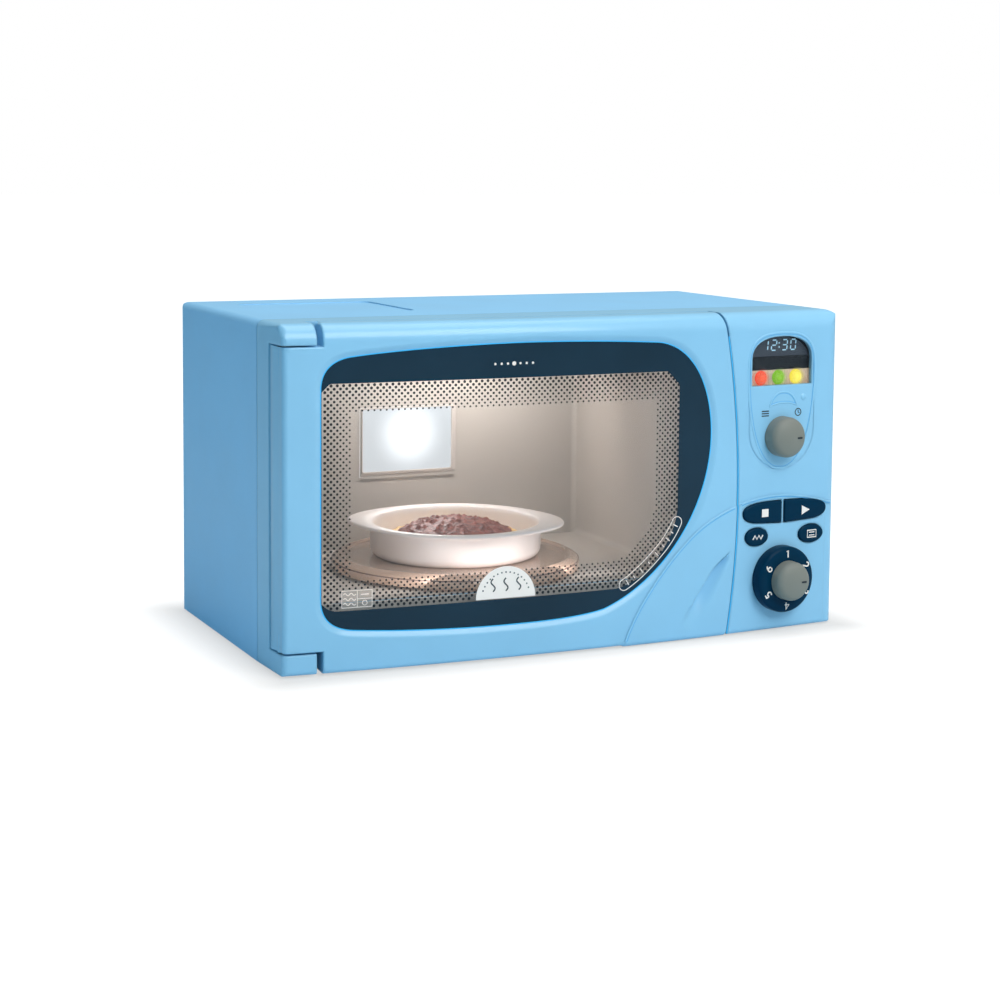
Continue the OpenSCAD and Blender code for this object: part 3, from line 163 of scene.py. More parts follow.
@dataclass(frozen=True)
class Finish:
    """A moulded, printed or metal finish with its own colour drift and fine grain."""

    name: str
    slot: str
    colour: Colour
    drift: float = 0.04
    drift_mm: float = 45.0
    roughness: float = 0.34
    grain: Grain = Grain.SATIN
    grain_mm: float = 0.6
    bump_mm: float = 0.012
    metallic: float = 0.0
    coat: float = 0.0
    coat_roughness: float = 0.12
    specular: float = 0.5
    alpha: float = 1.0
    glow: float = 0.0
    glow_colour: Colour = (255, 255, 255)
    milky: float = 0.0
    hot_spot: tuple[float, float, float] | None = None
    hot_mm: float = 15.0
    hot_level: float = 1.5
    fades: bool = False
    edge_mm: float = 0.0
    second: Colour | None = None
    second_mm: float = 6.0

    def material(self) -> bpy.types.Material:
        """Find or build the node material of this finish.

        Returns:
            The Blender material.
        """
        name = f"{self.name}_finish"
        done = bpy.data.materials.get(name)
        if done is not None:
            return done
        made = bpy.data.materials.new(name)
        made.use_nodes = True
        made.diffuse_color = (*linear(self.colour), 1)
        tree = NodeTree(made.node_tree)
        shader = tree.nodes["Principled BSDF"]
        tree.fill(shader, {"Metallic": self.metallic, "Coat Weight": self.coat, "Alpha": self.alpha,
                           "Coat Roughness": self.coat_roughness, "Specular IOR Level": self.specular})
        if self.milky > 0:
            tree.fill(shader, {"Subsurface Weight": self.milky, "Subsurface Radius": (1.0, 0.8, 0.6),
                               "Subsurface Scale": 2 * METRE})
        if self.glow > 0:
            tree.fill(shader, {"Emission Color": (*linear(self.glow_colour), 1),
                               "Emission Strength": self.glow})
        coords = tree.add("TexCoord").outputs["Object"]
        if self.hot_spot is not None:
            tree.fill(shader, {"Alpha" if self.fades else "Emission Strength": self._hot_level(tree, coords)})
        tree.fill(shader, self._tones(tree, coords))
        tree.fill(shader, {"Normal": self._relief(tree, coords)})
        return made

    def _hot_level(self, tree: NodeTree, coords: bpy.types.NodeSocket) -> bpy.types.NodeSocket:
        """Let the glow, or the cover of a halo, fall smoothly with the distance from a point.

        Args:
            tree: The material's nodes.
            coords: Object coordinates.

        Returns:
            The output with the level.
        """
        far = tree.add("VectorMath", {0: coords, 1: to_frame(np.array(self.hot_spot)).tolist()},
                       operation="DISTANCE")
        level = tree.add("MapRange", {"Value": far.outputs["Value"], "From Max": self.hot_mm * METRE,
                                      "To Min": self.hot_level, "To Max": 0 if self.fades else self.glow},
                         interpolation_type="SMOOTHERSTEP")
        return level.outputs["Result"]

    def _tones(self, tree: NodeTree, coords: bpy.types.NodeSocket) -> Sockets:
        """Drive colour and roughness by a slow noise: two near tones of the colour, or two set tones.

        Args:
            tree: The material's nodes.
            coords: Object coordinates.

        Returns:
            The shader's sockets with the outputs that drive them.
        """
        size = self.second_mm if self.second else self.drift_mm
        noise = tree.add("TexNoise", {"Vector": coords, "Scale": 1 / (METRE * size), "Detail": 3})
        cloud = noise.outputs["Fac"]
        base = linear(self.colour)
        low = linear(self.second) if self.second else tuple(c * (1 - self.drift) for c in base)
        high = base if self.second else tuple(min(1.0, c * (1 + self.drift)) for c in base)
        ramp = tree.add("ValToRGB", {"Fac": cloud})
        for mark, tone, place in zip(ramp.color_ramp.elements, (low, high), TONE_PLACES):
            mark.color, mark.position = (*tone, 1), place
        rough = tree.add("MapRange", {"Value": cloud, "To Min": max(0.02, self.roughness - ROUGH_SWING),
                                      "To Max": min(1.0, self.roughness + ROUGH_SWING)})
        return {"Base Color": ramp.outputs["Color"], "Roughness": rough.outputs["Result"]}

    def _relief(self, tree: NodeTree, coords: bpy.types.NodeSocket) -> bpy.types.NodeSocket:
        """Raise the fine grain, pores, ribs, lumps or brushed lines, and soften the edges.

        Args:
            tree: The material's nodes.
            coords: Object coordinates.

        Returns:
            The output with the normal.
        """
        scale = 1 / (METRE * self.grain_mm)
        if self.grain is Grain.RIBBED:
            source = tree.add("TexWave", {"Scale": 0.3142 / (METRE * self.grain_mm)}, bands_direction="X")
        elif self.grain is Grain.BRUSHED:
            coords = tree.add("Mapping", {"Vector": coords, "Scale": (1, 1, 12)}).outputs["Vector"]
            source = tree.add("TexNoise", {"Scale": scale})
        elif self.grain is Grain.LUMPY:
            source = tree.add("TexVoronoi", {"Scale": scale})
        else:
            source = tree.add("TexNoise", {"Scale": scale, "Detail": 2})
        tree.fill(source, {"Vector": coords})
        height = source.outputs["Distance" if self.grain is Grain.LUMPY else "Fac"]
        bump = tree.add("Bump", {"Strength": 1, "Distance": self.bump_mm * METRE, "Height": height})
        if self.edge_mm > 0:
            edge = tree.add("Bevel", {"Radius": self.edge_mm * METRE}, samples=6)
            tree.fill(bump, {"Normal": edge.outputs["Normal"]})
        return bump.outputs["Normal"]


BLUE = Finish("blue_case", "blue_plastic", (151, 209, 247), drift=0.02, roughness=0.42, coat=0.1,
              specular=0.3, edge_mm=0.8)
BLUE_FRONT = Finish("blue_front", "blue_plastic", (147, 202, 233), drift=0.02, roughness=0.34, coat=0.3,
                    specular=0.25, edge_mm=1.8)
BLUE_DOOR = replace(BLUE_FRONT, name="blue_door", edge_mm=0.0)
# The casing's blue seen in the door's seam and at the window's edge, with a glow: painted light that keeps
# the narrow gap and the recess's edge bright where they would lie in shade.
SEAM_PAINTED_GLOW = Finish("blue_seam_painted_glow", "blue_plastic", (62, 172, 224), drift=0.02, roughness=0.4, specular=0.2, glow=0.3,
              glow_colour=(62, 172, 224))
# Darker blue for the thin lines beside the moulded lines: painted shade at their foot.
BLUE_SHADE = Finish("blue_shade", "blue_plastic", (96, 176, 228), drift=0.02, roughness=0.4, specular=0.2)
NAVY = Finish("navy_print", "teal_plastic", (22, 48, 64), drift=0.1, roughness=0.22, specular=0.2)
NAVY_MOULDING = Finish("navy_moulding", "teal_plastic", (2, 46, 70), drift=0.05, roughness=0.3, specular=0.06)
DOTS = Finish("dot_print", "teal_plastic", (38, 42, 46), drift=0.05, roughness=0.4, specular=0.2)
WHITE_PRINT = Finish("white_print", "white_plastic", (255, 242, 233), drift=0.01, roughness=0.4)
DARK_PRINT = Finish("dark_print", "black_plastic", (32, 38, 44), drift=0.03, roughness=0.4)
KNOB_GREY = Finish("knob_grey", "grey_plastic", (131, 131, 122), drift=0.03, roughness=0.5, specular=0.35)
CREAM = Finish("oven_cream", "cream_plastic", (203, 195, 187), drift=0.03, roughness=0.42)
LAMP_FRAME = Finish("lamp_frame", "cream_plastic", (214, 205, 199), drift=0.02, roughness=0.3)
DISH = Finish("dish_white", "white_plastic", (232, 224, 221), drift=0.01, roughness=0.32, milky=0.1)
WHITE = Finish("white_moulding", "white_plastic", (243, 240, 238), drift=0.01, roughness=0.32, milky=0.1)
GLASS = Finish("window_clear", "clear_window", (120, 126, 128), drift=0.02, roughness=0.06, bump_mm=0.0,
               alpha=0.1, coat=0.6)
DISPLAY_GLASS = Finish("display_clear", "display_plastic", (60, 64, 70), drift=0.02, roughness=0.05,
                       bump_mm=0.0, alpha=0.16, coat=0.6)
LAMP_LENS = Finish("lamp_lens", "lamp_lens", (128, 136, 142), drift=0.03, roughness=0.5, glow=0.68,
                   glow_colour=(234, 238, 242), specular=0.1, hot_spot=(-33.5, 144.6, 93.5), hot_mm=26)
SMOKE = Finish("smoked_plate", "smoked_plastic", (226, 194, 172), drift=0.06, roughness=0.1, bump_mm=0.0,
               alpha=0.68, coat=1.0)
SMOKE_EDGE = Finish("smoked_edge", "smoked_plastic", (132, 108, 100), drift=0.06, roughness=0.2)
BLACK = Finish("screen_black", "black_plastic", (30, 31, 36), drift=0.05, roughness=0.2)
BEIGE = Finish("beige_strip", "beige_plastic", (230, 206, 178), grain=Grain.RIBBED, grain_mm=1.6,
               bump_mm=0.25, glow=0.22, glow_colour=(236, 216, 192))
RED = Finish("red_lens", "red_light", (226, 74, 50), roughness=0.2, glow=0.55, glow_colour=(240, 84, 58))
GREEN = Finish("green_lens", "green_light", (124, 178, 26), roughness=0.2, glow=0.5,
               glow_colour=(130, 190, 34))
YELLOW = Finish("yellow_lens", "yellow_light", (236, 222, 66), roughness=0.2, glow=0.4,
                glow_colour=(240, 230, 84))
BOARD = Finish("board_green", "board_green", (38, 104, 62), drift=0.1, roughness=0.4, bump_mm=0.03)
STEEL = Finish("plated_steel", "steel", (198, 200, 204), roughness=0.25, metallic=1.0, grain=Grain.BRUSHED,
               grain_mm=0.4, bump_mm=0.006)
BRASS = Finish("brass", "brass", (206, 170, 92), roughness=0.28, metallic=1.0, grain=Grain.BRUSHED,
               grain_mm=0.4, bump_mm=0.006)
RUBBER = Finish("foot_rubber", "rubber", (52, 52, 56), drift=0.08, roughness=0.75, grain_mm=0.4, bump_mm=0.04)
BULB = Finish("bulb_glass", "bulb_glass", (255, 250, 236), roughness=0.15, glow=14,
              glow_colour=(255, 246, 226))
BATTERY = Finish("battery_jacket", "battery_jacket", (64, 68, 74), roughness=0.3, coat=0.4)
PASTA = Finish("pasta_yellow", "pasta_yellow", (240, 206, 144), second=(230, 182, 112), second_mm=3.5,
               roughness=0.5, grain=Grain.LUMPY, grain_mm=2.2, bump_mm=0.2, milky=0.15)
SAUCE = Finish("sauce_brown", "sauce_brown", (158, 98, 88), second=(104, 60, 54), second_mm=2.6,
               roughness=0.42, grain=Grain.LUMPY, grain_mm=1.6, bump_mm=0.3, specular=0.25)
DIGIT = Finish("display_digits", "display_plastic", (168, 206, 224), roughness=0.4, glow=0.5,
               glow_colour=(168, 206, 224))
HALO_TONES = {"red": (238, 110, 70), "green": (150, 196, 60), "yellow": (250, 238, 110)}
HALOS = {name: Finish(f"{name}_halo", f"{name}_light", tone, roughness=0.3, glow=0.5, glow_colour=tone,
                      hot_level=0.75, hot_mm=6.4, fades=True, hot_spot=(0.0, 0.0, 0.0))
         for name, tone in HALO_TONES.items()}
SCREEN_GREY = Finish("screen_grey", "display_plastic", (66, 70, 80), roughness=0.3)

CAD_FINISHES: dict[str, Finish] = {node: finish for finish, nodes in (
    (BLUE_FRONT, "front_casing"),
    (BLUE, "outer_case rear_cover base_plate battery_cover"),
    (BLUE_DOOR, "door_frame"),
    (CREAM, "oven_liner door_lining door_latch"),
    (WHITE, "lamp_reflector gearbox_frame turntable_coupler turntable_gear idler_gear"),
    (NAVY_MOULDING, "power_dial stop_button start_button grill_button oven_button"),
    (KNOB_GREY, "timer_knob power_grip"),
    (RUBBER, "foot_front_left foot_front_right foot_rear_left foot_rear_right button_pad"),
    (STEEL, "battery_cover_screw casing_screws battery_contacts motor hinge_pins door_screws"),
    (DARK_PRINT, "timer_switch power_switch speaker door_switch"),
    (LAMP_LENS, "lamp_window"), (BULB, "lamp_bulb"), (DISPLAY_GLASS, "display_lens"),
    (BLACK, "display_screen"), (BEIGE, "light_strip"), (RED, "light_red"), (GREEN, "light_green"),
    (YELLOW, "light_yellow"), (BOARD, "control_board"), (BATTERY, "batteries"), (GLASS, "door_glass"),
    (SMOKE, "turntable"), (DISH, "dish"), (PASTA, "pasta"), (SAUCE, "sauce"), (BRASS, "motor_pinion"),
) for node in nodes.split()}


def bezier(a: Point, b: Point, c: Point, d: Point, count: int) -> Array:
    """Sample a cubic curve: s^3 a + 3 s^2 t b + 3 s t^2 c + t^3 d with s = 1 - t.

    Args:
        a: First point.
        b: First handle.
        c: Second handle.
        d: Last point, which is left out of the samples.
        count: Number of samples.

    Returns:
        An array of count points.
    """
    t = np.linspace(0, 1, count, endpoint=False)[:, None]
    s = 1 - t
    a, b, c, d = (np.asarray(p, float) for p in (a, b, c, d))
    return s**3 * a + 3 * s * s * t * b + 3 * s * t * t * c + t**3 * d


def smooth_step(low: float, high: float, value: Array) -> Array:
    """Rise from 0 to 1 between low and high as 3 t^2 - 2 t^3."""
    t = np.clip((value - low) / (high - low), 0, 1)
    return t * t * (3 - 2 * t)


def to_frame(points: Array) -> Array:
    """Move points from the photograph's millimetres into the frame's metres."""
    return (points + np.array([0, FRAME_Y, FOOT_H])) * METRE


def grid_faces(rows: int, cols: int, wrap_rows: bool, wrap_cols: bool) -> Array:
    """Index the quads of a grid of vertices that is stored row by row.

    Args:
        rows: Number of rows of vertices.
        cols: Number of vertices in a row.
        wrap_rows: Whether the last row joins the first.
        wrap_cols: Whether the last column joins the first.

    Returns:
        An array of quads.
    """
    i = np.arange(rows if wrap_rows else rows - 1)[:, None]
    j = np.arange(cols if wrap_cols else cols - 1)[None, :]
    i2, j2 = (i + 1) % rows, (j + 1) % cols
    corners = [i * cols + j, i * cols + j2, i2 * cols + j2, i2 * cols + j]
    return np.stack([np.broadcast_to(c, (len(i), j.shape[1])) for c in corners], -1).reshape(-1, 4)


@dataclass
class Surface:
    """Vertices in millimetres with their faces, which can be joined to others."""

    points: Array
    faces: list[list[int]]

    @staticmethod
    def joined(parts: list["Surface"]) -> "Surface":
        """Put several surfaces into one.

        Args:
            parts: The surfaces.

        Returns:
            One surface that holds them all.
        """
        starts = np.cumsum([0] + [len(p.points) for p in parts])
        faces = [[int(start) + i for i in f] for p, start in zip(parts, starts) for f in p.faces]
        return Surface(np.concatenate([p.points for p in parts]), faces)

    @staticmethod
    def grid(points: Array, wrap_rows: bool = False, wrap_cols: bool = True,
             cap_first: bool = False, cap_last: bool = False) -> "Surface":
        """Make a surface of a rows by columns by 3 array.

        Args:
            points: The grid of vertices.
            wrap_rows: Whether the last row joins the first.
            wrap_cols: Whether the last column joins the first.
            cap_first: Whether a face closes the first row.
            cap_last: Whether a face closes the last row.

        Returns:
            The surface.
        """
        rows, cols = points.shape[:2]
        faces = grid_faces(rows, cols, wrap_rows, wrap_cols).tolist()
        if cap_first:
            faces.append(list(range(cols))[::-1])
        if cap_last:
            faces.append(list(range((rows - 1) * cols, rows * cols)))
        return Surface(points.reshape(-1, 3), faces)

    def piece(self, name: str, body: Body, finish: Finish, replaces: tuple[str, ...] = (),
              sharp_deg: float = 35) -> bpy.types.Object:
        """Turn the surface into a finished piece that rides on a body.

        Args:
            name: Name of the piece.
            body: The body that carries it.
            finish: Its finish.
            replaces: The CAD nodes that it stands for.
            sharp_deg: Edges that turn more than this stay sharp.

        Returns:
            The new object.
        """
        mesh = bpy.data.meshes.new(name)
        mesh.from_pydata(to_frame(self.points).tolist(), [], self.faces)
        mesh.validate()
        turned_out(mesh)
        mesh.polygons.foreach_set("use_smooth", np.ones(len(mesh.polygons), bool))
        mesh.set_sharp_from_angle(angle=math.radians(sharp_deg))
        mesh.update()
        made = bpy.data.objects.new(name, mesh)
        bpy.context.scene.collection.objects.link(made)
        mesh.materials.append(finish.material())
        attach(made, body.value)
        if replaces:
            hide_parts(*replaces)
        log.info("%s: %d faces on %s", name, len(self.faces), body.value)
        return made


def turned_out(mesh: bpy.types.Mesh) -> None:
    """Make every face of a closed mesh point outwards.

    Args:
        mesh: The mesh, which is changed.
    """
    work = bmesh.new()
    work.from_mesh(mesh)
    bmesh.ops.recalc_face_normals(work, faces=work.faces)
    work.to_mesh(mesh)
    work.free()


@dataclass
class FrontFace:
    """The bowed front that door and panel share: one arc in plan, lifted below a raised line."""

    half_w: float = 159
    height: float = 170
    bow: float = 8
    top_r: float = 9
    bottom_r: float = 2
    lift: float = 0.6
    lift_half: float = 0.7
    glass_depth: float = 1.7
    flat_x: float = 149.8
    side_r: float = 8.0
    door_x: float = 92
    door_curve_r: float = 470
    door_curve_z: float = 75
    panel_x: float = 119.5
    swoosh: Array = field(init=False)
    window: Array = field(init=False)

    def __post_init__(self) -> None:
        """Work out the arc, the raised line and the window outline."""
        self.bow_r = (self.half_w**2 + self.bow**2) / (2 * self.bow)
        self.bow_y = self.bow_r - self.bow
        line = [
            ([22.5, -4], [27, 14], [44, 37], [62, 52.5]),
            ([62, 52.5], [76, 64.5], [98, 72], [117, 72]),
            ([117, 72], [133, 72], [147, 67.5], [166, 62.5]),
        ]
        self.swoosh = np.concatenate([bezier(*part, 26) for part in line] + [[[166, 62.5]]])
        starts = [
            ([0, 19.5], [0, 55], [0, 90]), ([0, 121.5], [0, 131.5], [6, 136.7]),
            ([17, 137.7], [39, 140.3], [79, 142.3]), ([109, 142.3], [134, 142.3], [159, 141.3]),
            ([181, 140], [203, 138.5], [215, 116.5]), ([215, 90.5], [215, 53.5], [189, 16.5]),
            ([152, 3.5], [137, 0.1], [114, 0]), ([94, 0], [64, 0], [34, 1.9]),
            ([17, 3.5], [6, 4.5], [0, 9.5]),
        ]
        ends = [start[0] for start in starts[1:] + starts[:1]]
        outline = np.concatenate([bezier(*part, end, 60) for part, end in zip(starts, ends)])
        self.window = outline + np.array([-139, 16.5])

    def y_at(self, x: Array) -> Array:
        """Y of the face at x: the arc about (0, bow_y) of radius bow_r."""
        return self.bow_y - np.sqrt(self.bow_r**2 - np.asarray(x, float)**2)

    def sunk(self, x: Array, z: Array, depth: Array) -> Array:
        """Points at a depth below the bowed face, measured along the arc's radius.

        Args:
            x: Places along the front.
            z: Heights.
            depth: Depths below the face.

        Returns:
            Points with a last axis of 3.
        """
        x, z, depth = np.broadcast_arrays(np.asarray(x, float), z, depth)
        share = (self.bow_r - depth) / self.bow_r
        return np.stack([x * share, self.bow_y - (self.bow_y - self.y_at(x)) * share, z], -1)

    def swoosh_gap(self, x: Array, z: Array) -> Array:
        """Signed distance to the raised line, positive below and right of it.

        The nearest point of each straight part a + k (b - a), k held in 0 to 1, gives the
        distance, and the cross product of the part and the way to the point gives the side.

        Args:
            x: Places along the front.
            z: Heights.

        Returns:
            The distances, in the shape of x.
        """
        p = np.stack([np.ravel(x), np.ravel(z)], -1)[:, None, :]
        a, d = self.swoosh[None, :-1], np.diff(self.swoosh, axis=0)[None]
        k = np.clip(((p - a) * d).sum(-1) / (d * d).sum(-1), 0, 1)
        way = p - a - k[..., None] * d
        far = np.hypot(way[..., 0], way[..., 1])
        best = far.argmin(1)
        rows = np.arange(len(best))
        part = d[0, best]
        side = part[:, 0] * way[rows, best, 1] - part[:, 1] * way[rows, best, 0]
        return (-np.sign(side) * far[rows, best]).reshape(np.shape(x))

    def raised(self, x: Array, z: Array) -> Array:
        """How far the face stands proud at a point: a soft step of 0.6 across the line."""
        return self.lift * smooth_step(-self.lift_half, self.lift_half, self.swoosh_gap(x, z))

    def pull_depth(self, x: Array, z: Array) -> Array:
        """Depth of the finger pull: a slanted leaf with a steep left side and a slow right one.

        With u up the slope and v across it, s = (u + 26) / 47.9 runs along the leaf. Its
        sides are v = 4.6 - 4.1 step(s) and v = 6.5 s^2.2 - 6, and t is the share of the way
        from the left side to the right one.

        Args:
            x: Places along the front.
            z: Heights.

        Returns:
            The depths.
        """
        slope = math.radians(54)
        dx, dz = x - 76.5, z - 27
        u = dx * math.cos(slope) + dz * math.sin(slope)
        v = -dx * math.sin(slope) + dz * math.cos(slope)
        s = np.clip((u + 26) / 47.9, 0, 1)
        left = 4.6 - 4.1 * smooth_step(0.66, 1.04, s)
        right = 6.5 * s**2.2 - 6
        t = (left - v) / np.maximum(left - right, 0.3)
        deep = 4.2 * smooth_step(-0.06, 0.45, s) * (1 - smooth_step(0.8, 1.0, s))
        rise = 1 - (1 - np.clip(t / 0.24, 0, 1))**1.6
        return deep * rise * (1 - smooth_step(0.22, 1.0, t)) * ((s > 0) & (s < 1))

    def door_edge(self, z: Array, inset: float = 0) -> Array:
        """X of the door's curved edge at a height, drawn in by inset."""
        r = self.door_curve_r - inset
        return self.door_x - self.door_curve_r + np.sqrt(r * r - (np.asarray(z) - self.door_curve_z)**2)


FACE = FrontFace()


def window_place(u: Array, v: Array, h: Array) -> Array:
    """Points on the window glass, h proud of its front."""
    return FACE.sunk(u, v, FACE.glass_depth - np.asarray(h))


def face_place(u: Array, v: Array, h: Array) -> Array:
    """Points on the front, h proud of its raised or plain surface."""
    u, v, h = np.broadcast_arrays(np.asarray(u, float), v, h)
    return FACE.sunk(u, v, -FACE.raised(u, v) - h)


def edge_place(u: Array, v: Array, h: Array) -> Array:
    """Points h proud of the raised zone, carried round the panel's rounded side edge.

    Up to u0 = 149.8 they lie on the bow. Beyond it the length u - u0 turns by (u - u0) / 8
    about the middle of the rounding of 8 mm.

    Args:
        u: Lengths across.
        v: Heights.
        h: How far the points stand proud.

    Returns:
        Points with a last axis of 3.
    """
    u, v, h = np.broadcast_arrays(np.asarray(u, float), v, h)
    start, r = FACE.flat_x, FACE.side_r
    flat = FACE.sunk(np.minimum(u, start), v, -FACE.lift - h)
    a = np.clip((u - start) / r, 0, math.pi / 2)
    reach = r + FACE.lift + h
    middle = float(FACE.y_at(start)) + r
    bent = np.stack([start + reach * np.sin(a), middle - reach * np.cos(a), v], -1)
    return np.where((u > start)[..., None], bent, flat)


def panel_place(u: Array, v: Array, h: Array) -> Array:
    """Points in the flat frame of the control panel, which is turned as the bow is at its middle.

    Args:
        u: Lengths across.
        v: Heights.
        h: How far outwards the points are.

    Returns:
        Points with a last axis of 3.
    """
    u, v, h = np.broadcast_arrays(np.asarray(u, float), v, h)
    turn = math.asin(FACE.panel_x / FACE.bow_r)
    x = FACE.panel_x + u * math.cos(turn) + h * math.sin(turn)
    y = FACE.y_at(FACE.panel_x) + u * math.sin(turn) - h * math.cos(turn)
    return np.stack([x, y, v], -1)


def at_panel(height: float, lift: float = 0) -> Place:
    """A place function whose origin is on the panel at a height, raised by lift."""
    return lambda u, v, h: panel_place(u, np.asarray(v) + height, np.asarray(h) + lift)


def path_normals(path: Array, closed: bool) -> Array:
    """Unit normals to the left of a path: its central differences turned by a quarter.

    Args:
        path: Points of the path.
        closed: Whether the path joins its start.

    Returns:
        A normal for each point.
    """
    if closed:
        step = np.roll(path, -1, 0) - np.roll(path, 1, 0)
    else:
        step = np.gradient(path, axis=0)
    step /= np.linalg.norm(step, axis=1, keepdims=True)
    return np.stack([-step[:, 1], step[:, 0]], -1)


def sweep(path: Path, section: Path, place: Place, closed: bool = False) -> Surface:
    """Carry a closed section of (offset, height) along a path in a face.

    Args:
        path: Points of the path.
        section: Points of the section.
        place: Maps across, up and height to space.
        closed: Whether the path joins its start.

    Returns:
        A closed surface.
    """
    path, section = np.asarray(path, float), np.asarray(section, float)
    normals = path_normals(path, closed)
    flat = path[:, None, :] + normals[:, None, :] * section[None, :, :1]
    height = np.broadcast_to(section[None, :, 1], flat.shape[:2])
    points = place(flat[..., 0], flat[..., 1], height)
    return Surface.grid(points, wrap_rows=closed, cap_first=not closed, cap_last=not closed)


def rule(path: Path, width: float, place: Place, closed: bool = False, h: float = 0.08) -> Surface:
    """A printed line of even width along a path."""
    half = width / 2
    return sweep(path, [[-half, PRINT_FOOT], [half, PRINT_FOOT], [half, h], [-half, h]], place, closed)


def ridge(path: Path, width: float, height: float, place: Place, closed: bool = False) -> Surface:
    """A moulded line: a half ellipse carried along a path, its foot under the face.

    Args:
        path: Points of the path.
        width: Width of the line.
        height: How far it stands proud.
        place: Maps across, up and height to space.
        closed: Whether the path joins its start.

    Returns:
        A closed surface.
    """
    a = np.linspace(0, math.pi, 9)
    top = np.stack([width / 2 * np.cos(a), height * np.sin(a)], -1)
    foot = [[-width / 2, -0.15], [width / 2, -0.15]]
    return sweep(path, np.concatenate([top, foot]), place, closed)


def patch(outline: Path, place: Place, h: float = 0.08, rings: int = 4) -> Surface:
    """A printed patch: rings from its outline to its middle point, with a thin edge.

    Args:
        outline: Closed outline that its middle sees all of.
        place: Maps across, up and height to space.
        h: Height of the print.
        rings: Number of rings to the middle.

    Returns:
        A closed surface.
    """
    outline = np.asarray(outline, float)
    middle = outline.mean(0)
    share = np.concatenate([[0.0], np.linspace(0, 0.98, rings)])[:, None, None]
    flat = outline[None] * (1 - share) + middle * share
    height = np.full(flat.shape[:2], h)
    height[0] = PRINT_FOOT
    return Surface.grid(place(flat[..., 0], flat[..., 1], height), cap_first=True, cap_last=True)


def circle(centre: Point, r: float, count: int = 24, start: float = 0, turn: float = 360) -> Array:
    """Points of a circle, or of an arc of fewer than 360 degrees, about a centre."""
    a = np.radians(start + turn * np.arange(count) / (count if turn == 360 else count - 1))
    return np.stack([centre[0] + r * np.cos(a), centre[1] + r * np.sin(a)], -1)


def turned(profile: Path, place: Place, count: int = 96) -> Surface:
    """Turn a profile of (radius, height) about the middle of a face.

    Args:
        profile: Points from the foot outwards, over the top and to the axis.
        place: Maps across, up and height to space.
        count: Number of columns.

    Returns:
        A closed surface.
    """
    profile = np.asarray(profile, float)
    a = np.linspace(0, TURN, count, endpoint=False)
    r = np.maximum(profile[:, :1], 0.01)
    points = place(r * np.cos(a), r * np.sin(a), np.broadcast_to(profile[:, 1:], (len(profile), count)))
    return Surface.grid(points, cap_first=True, cap_last=True)


def round_arc(centre: Point, r: float, start: float, end: float, count: int = 8) -> list[Point]:
    """Points of a profile's rounding from a start to an end angle in degrees."""
    a = np.radians(np.linspace(start, end, count))
    return np.stack([centre[0] + r * np.cos(a), centre[1] + r * np.sin(a)], -1).tolist()


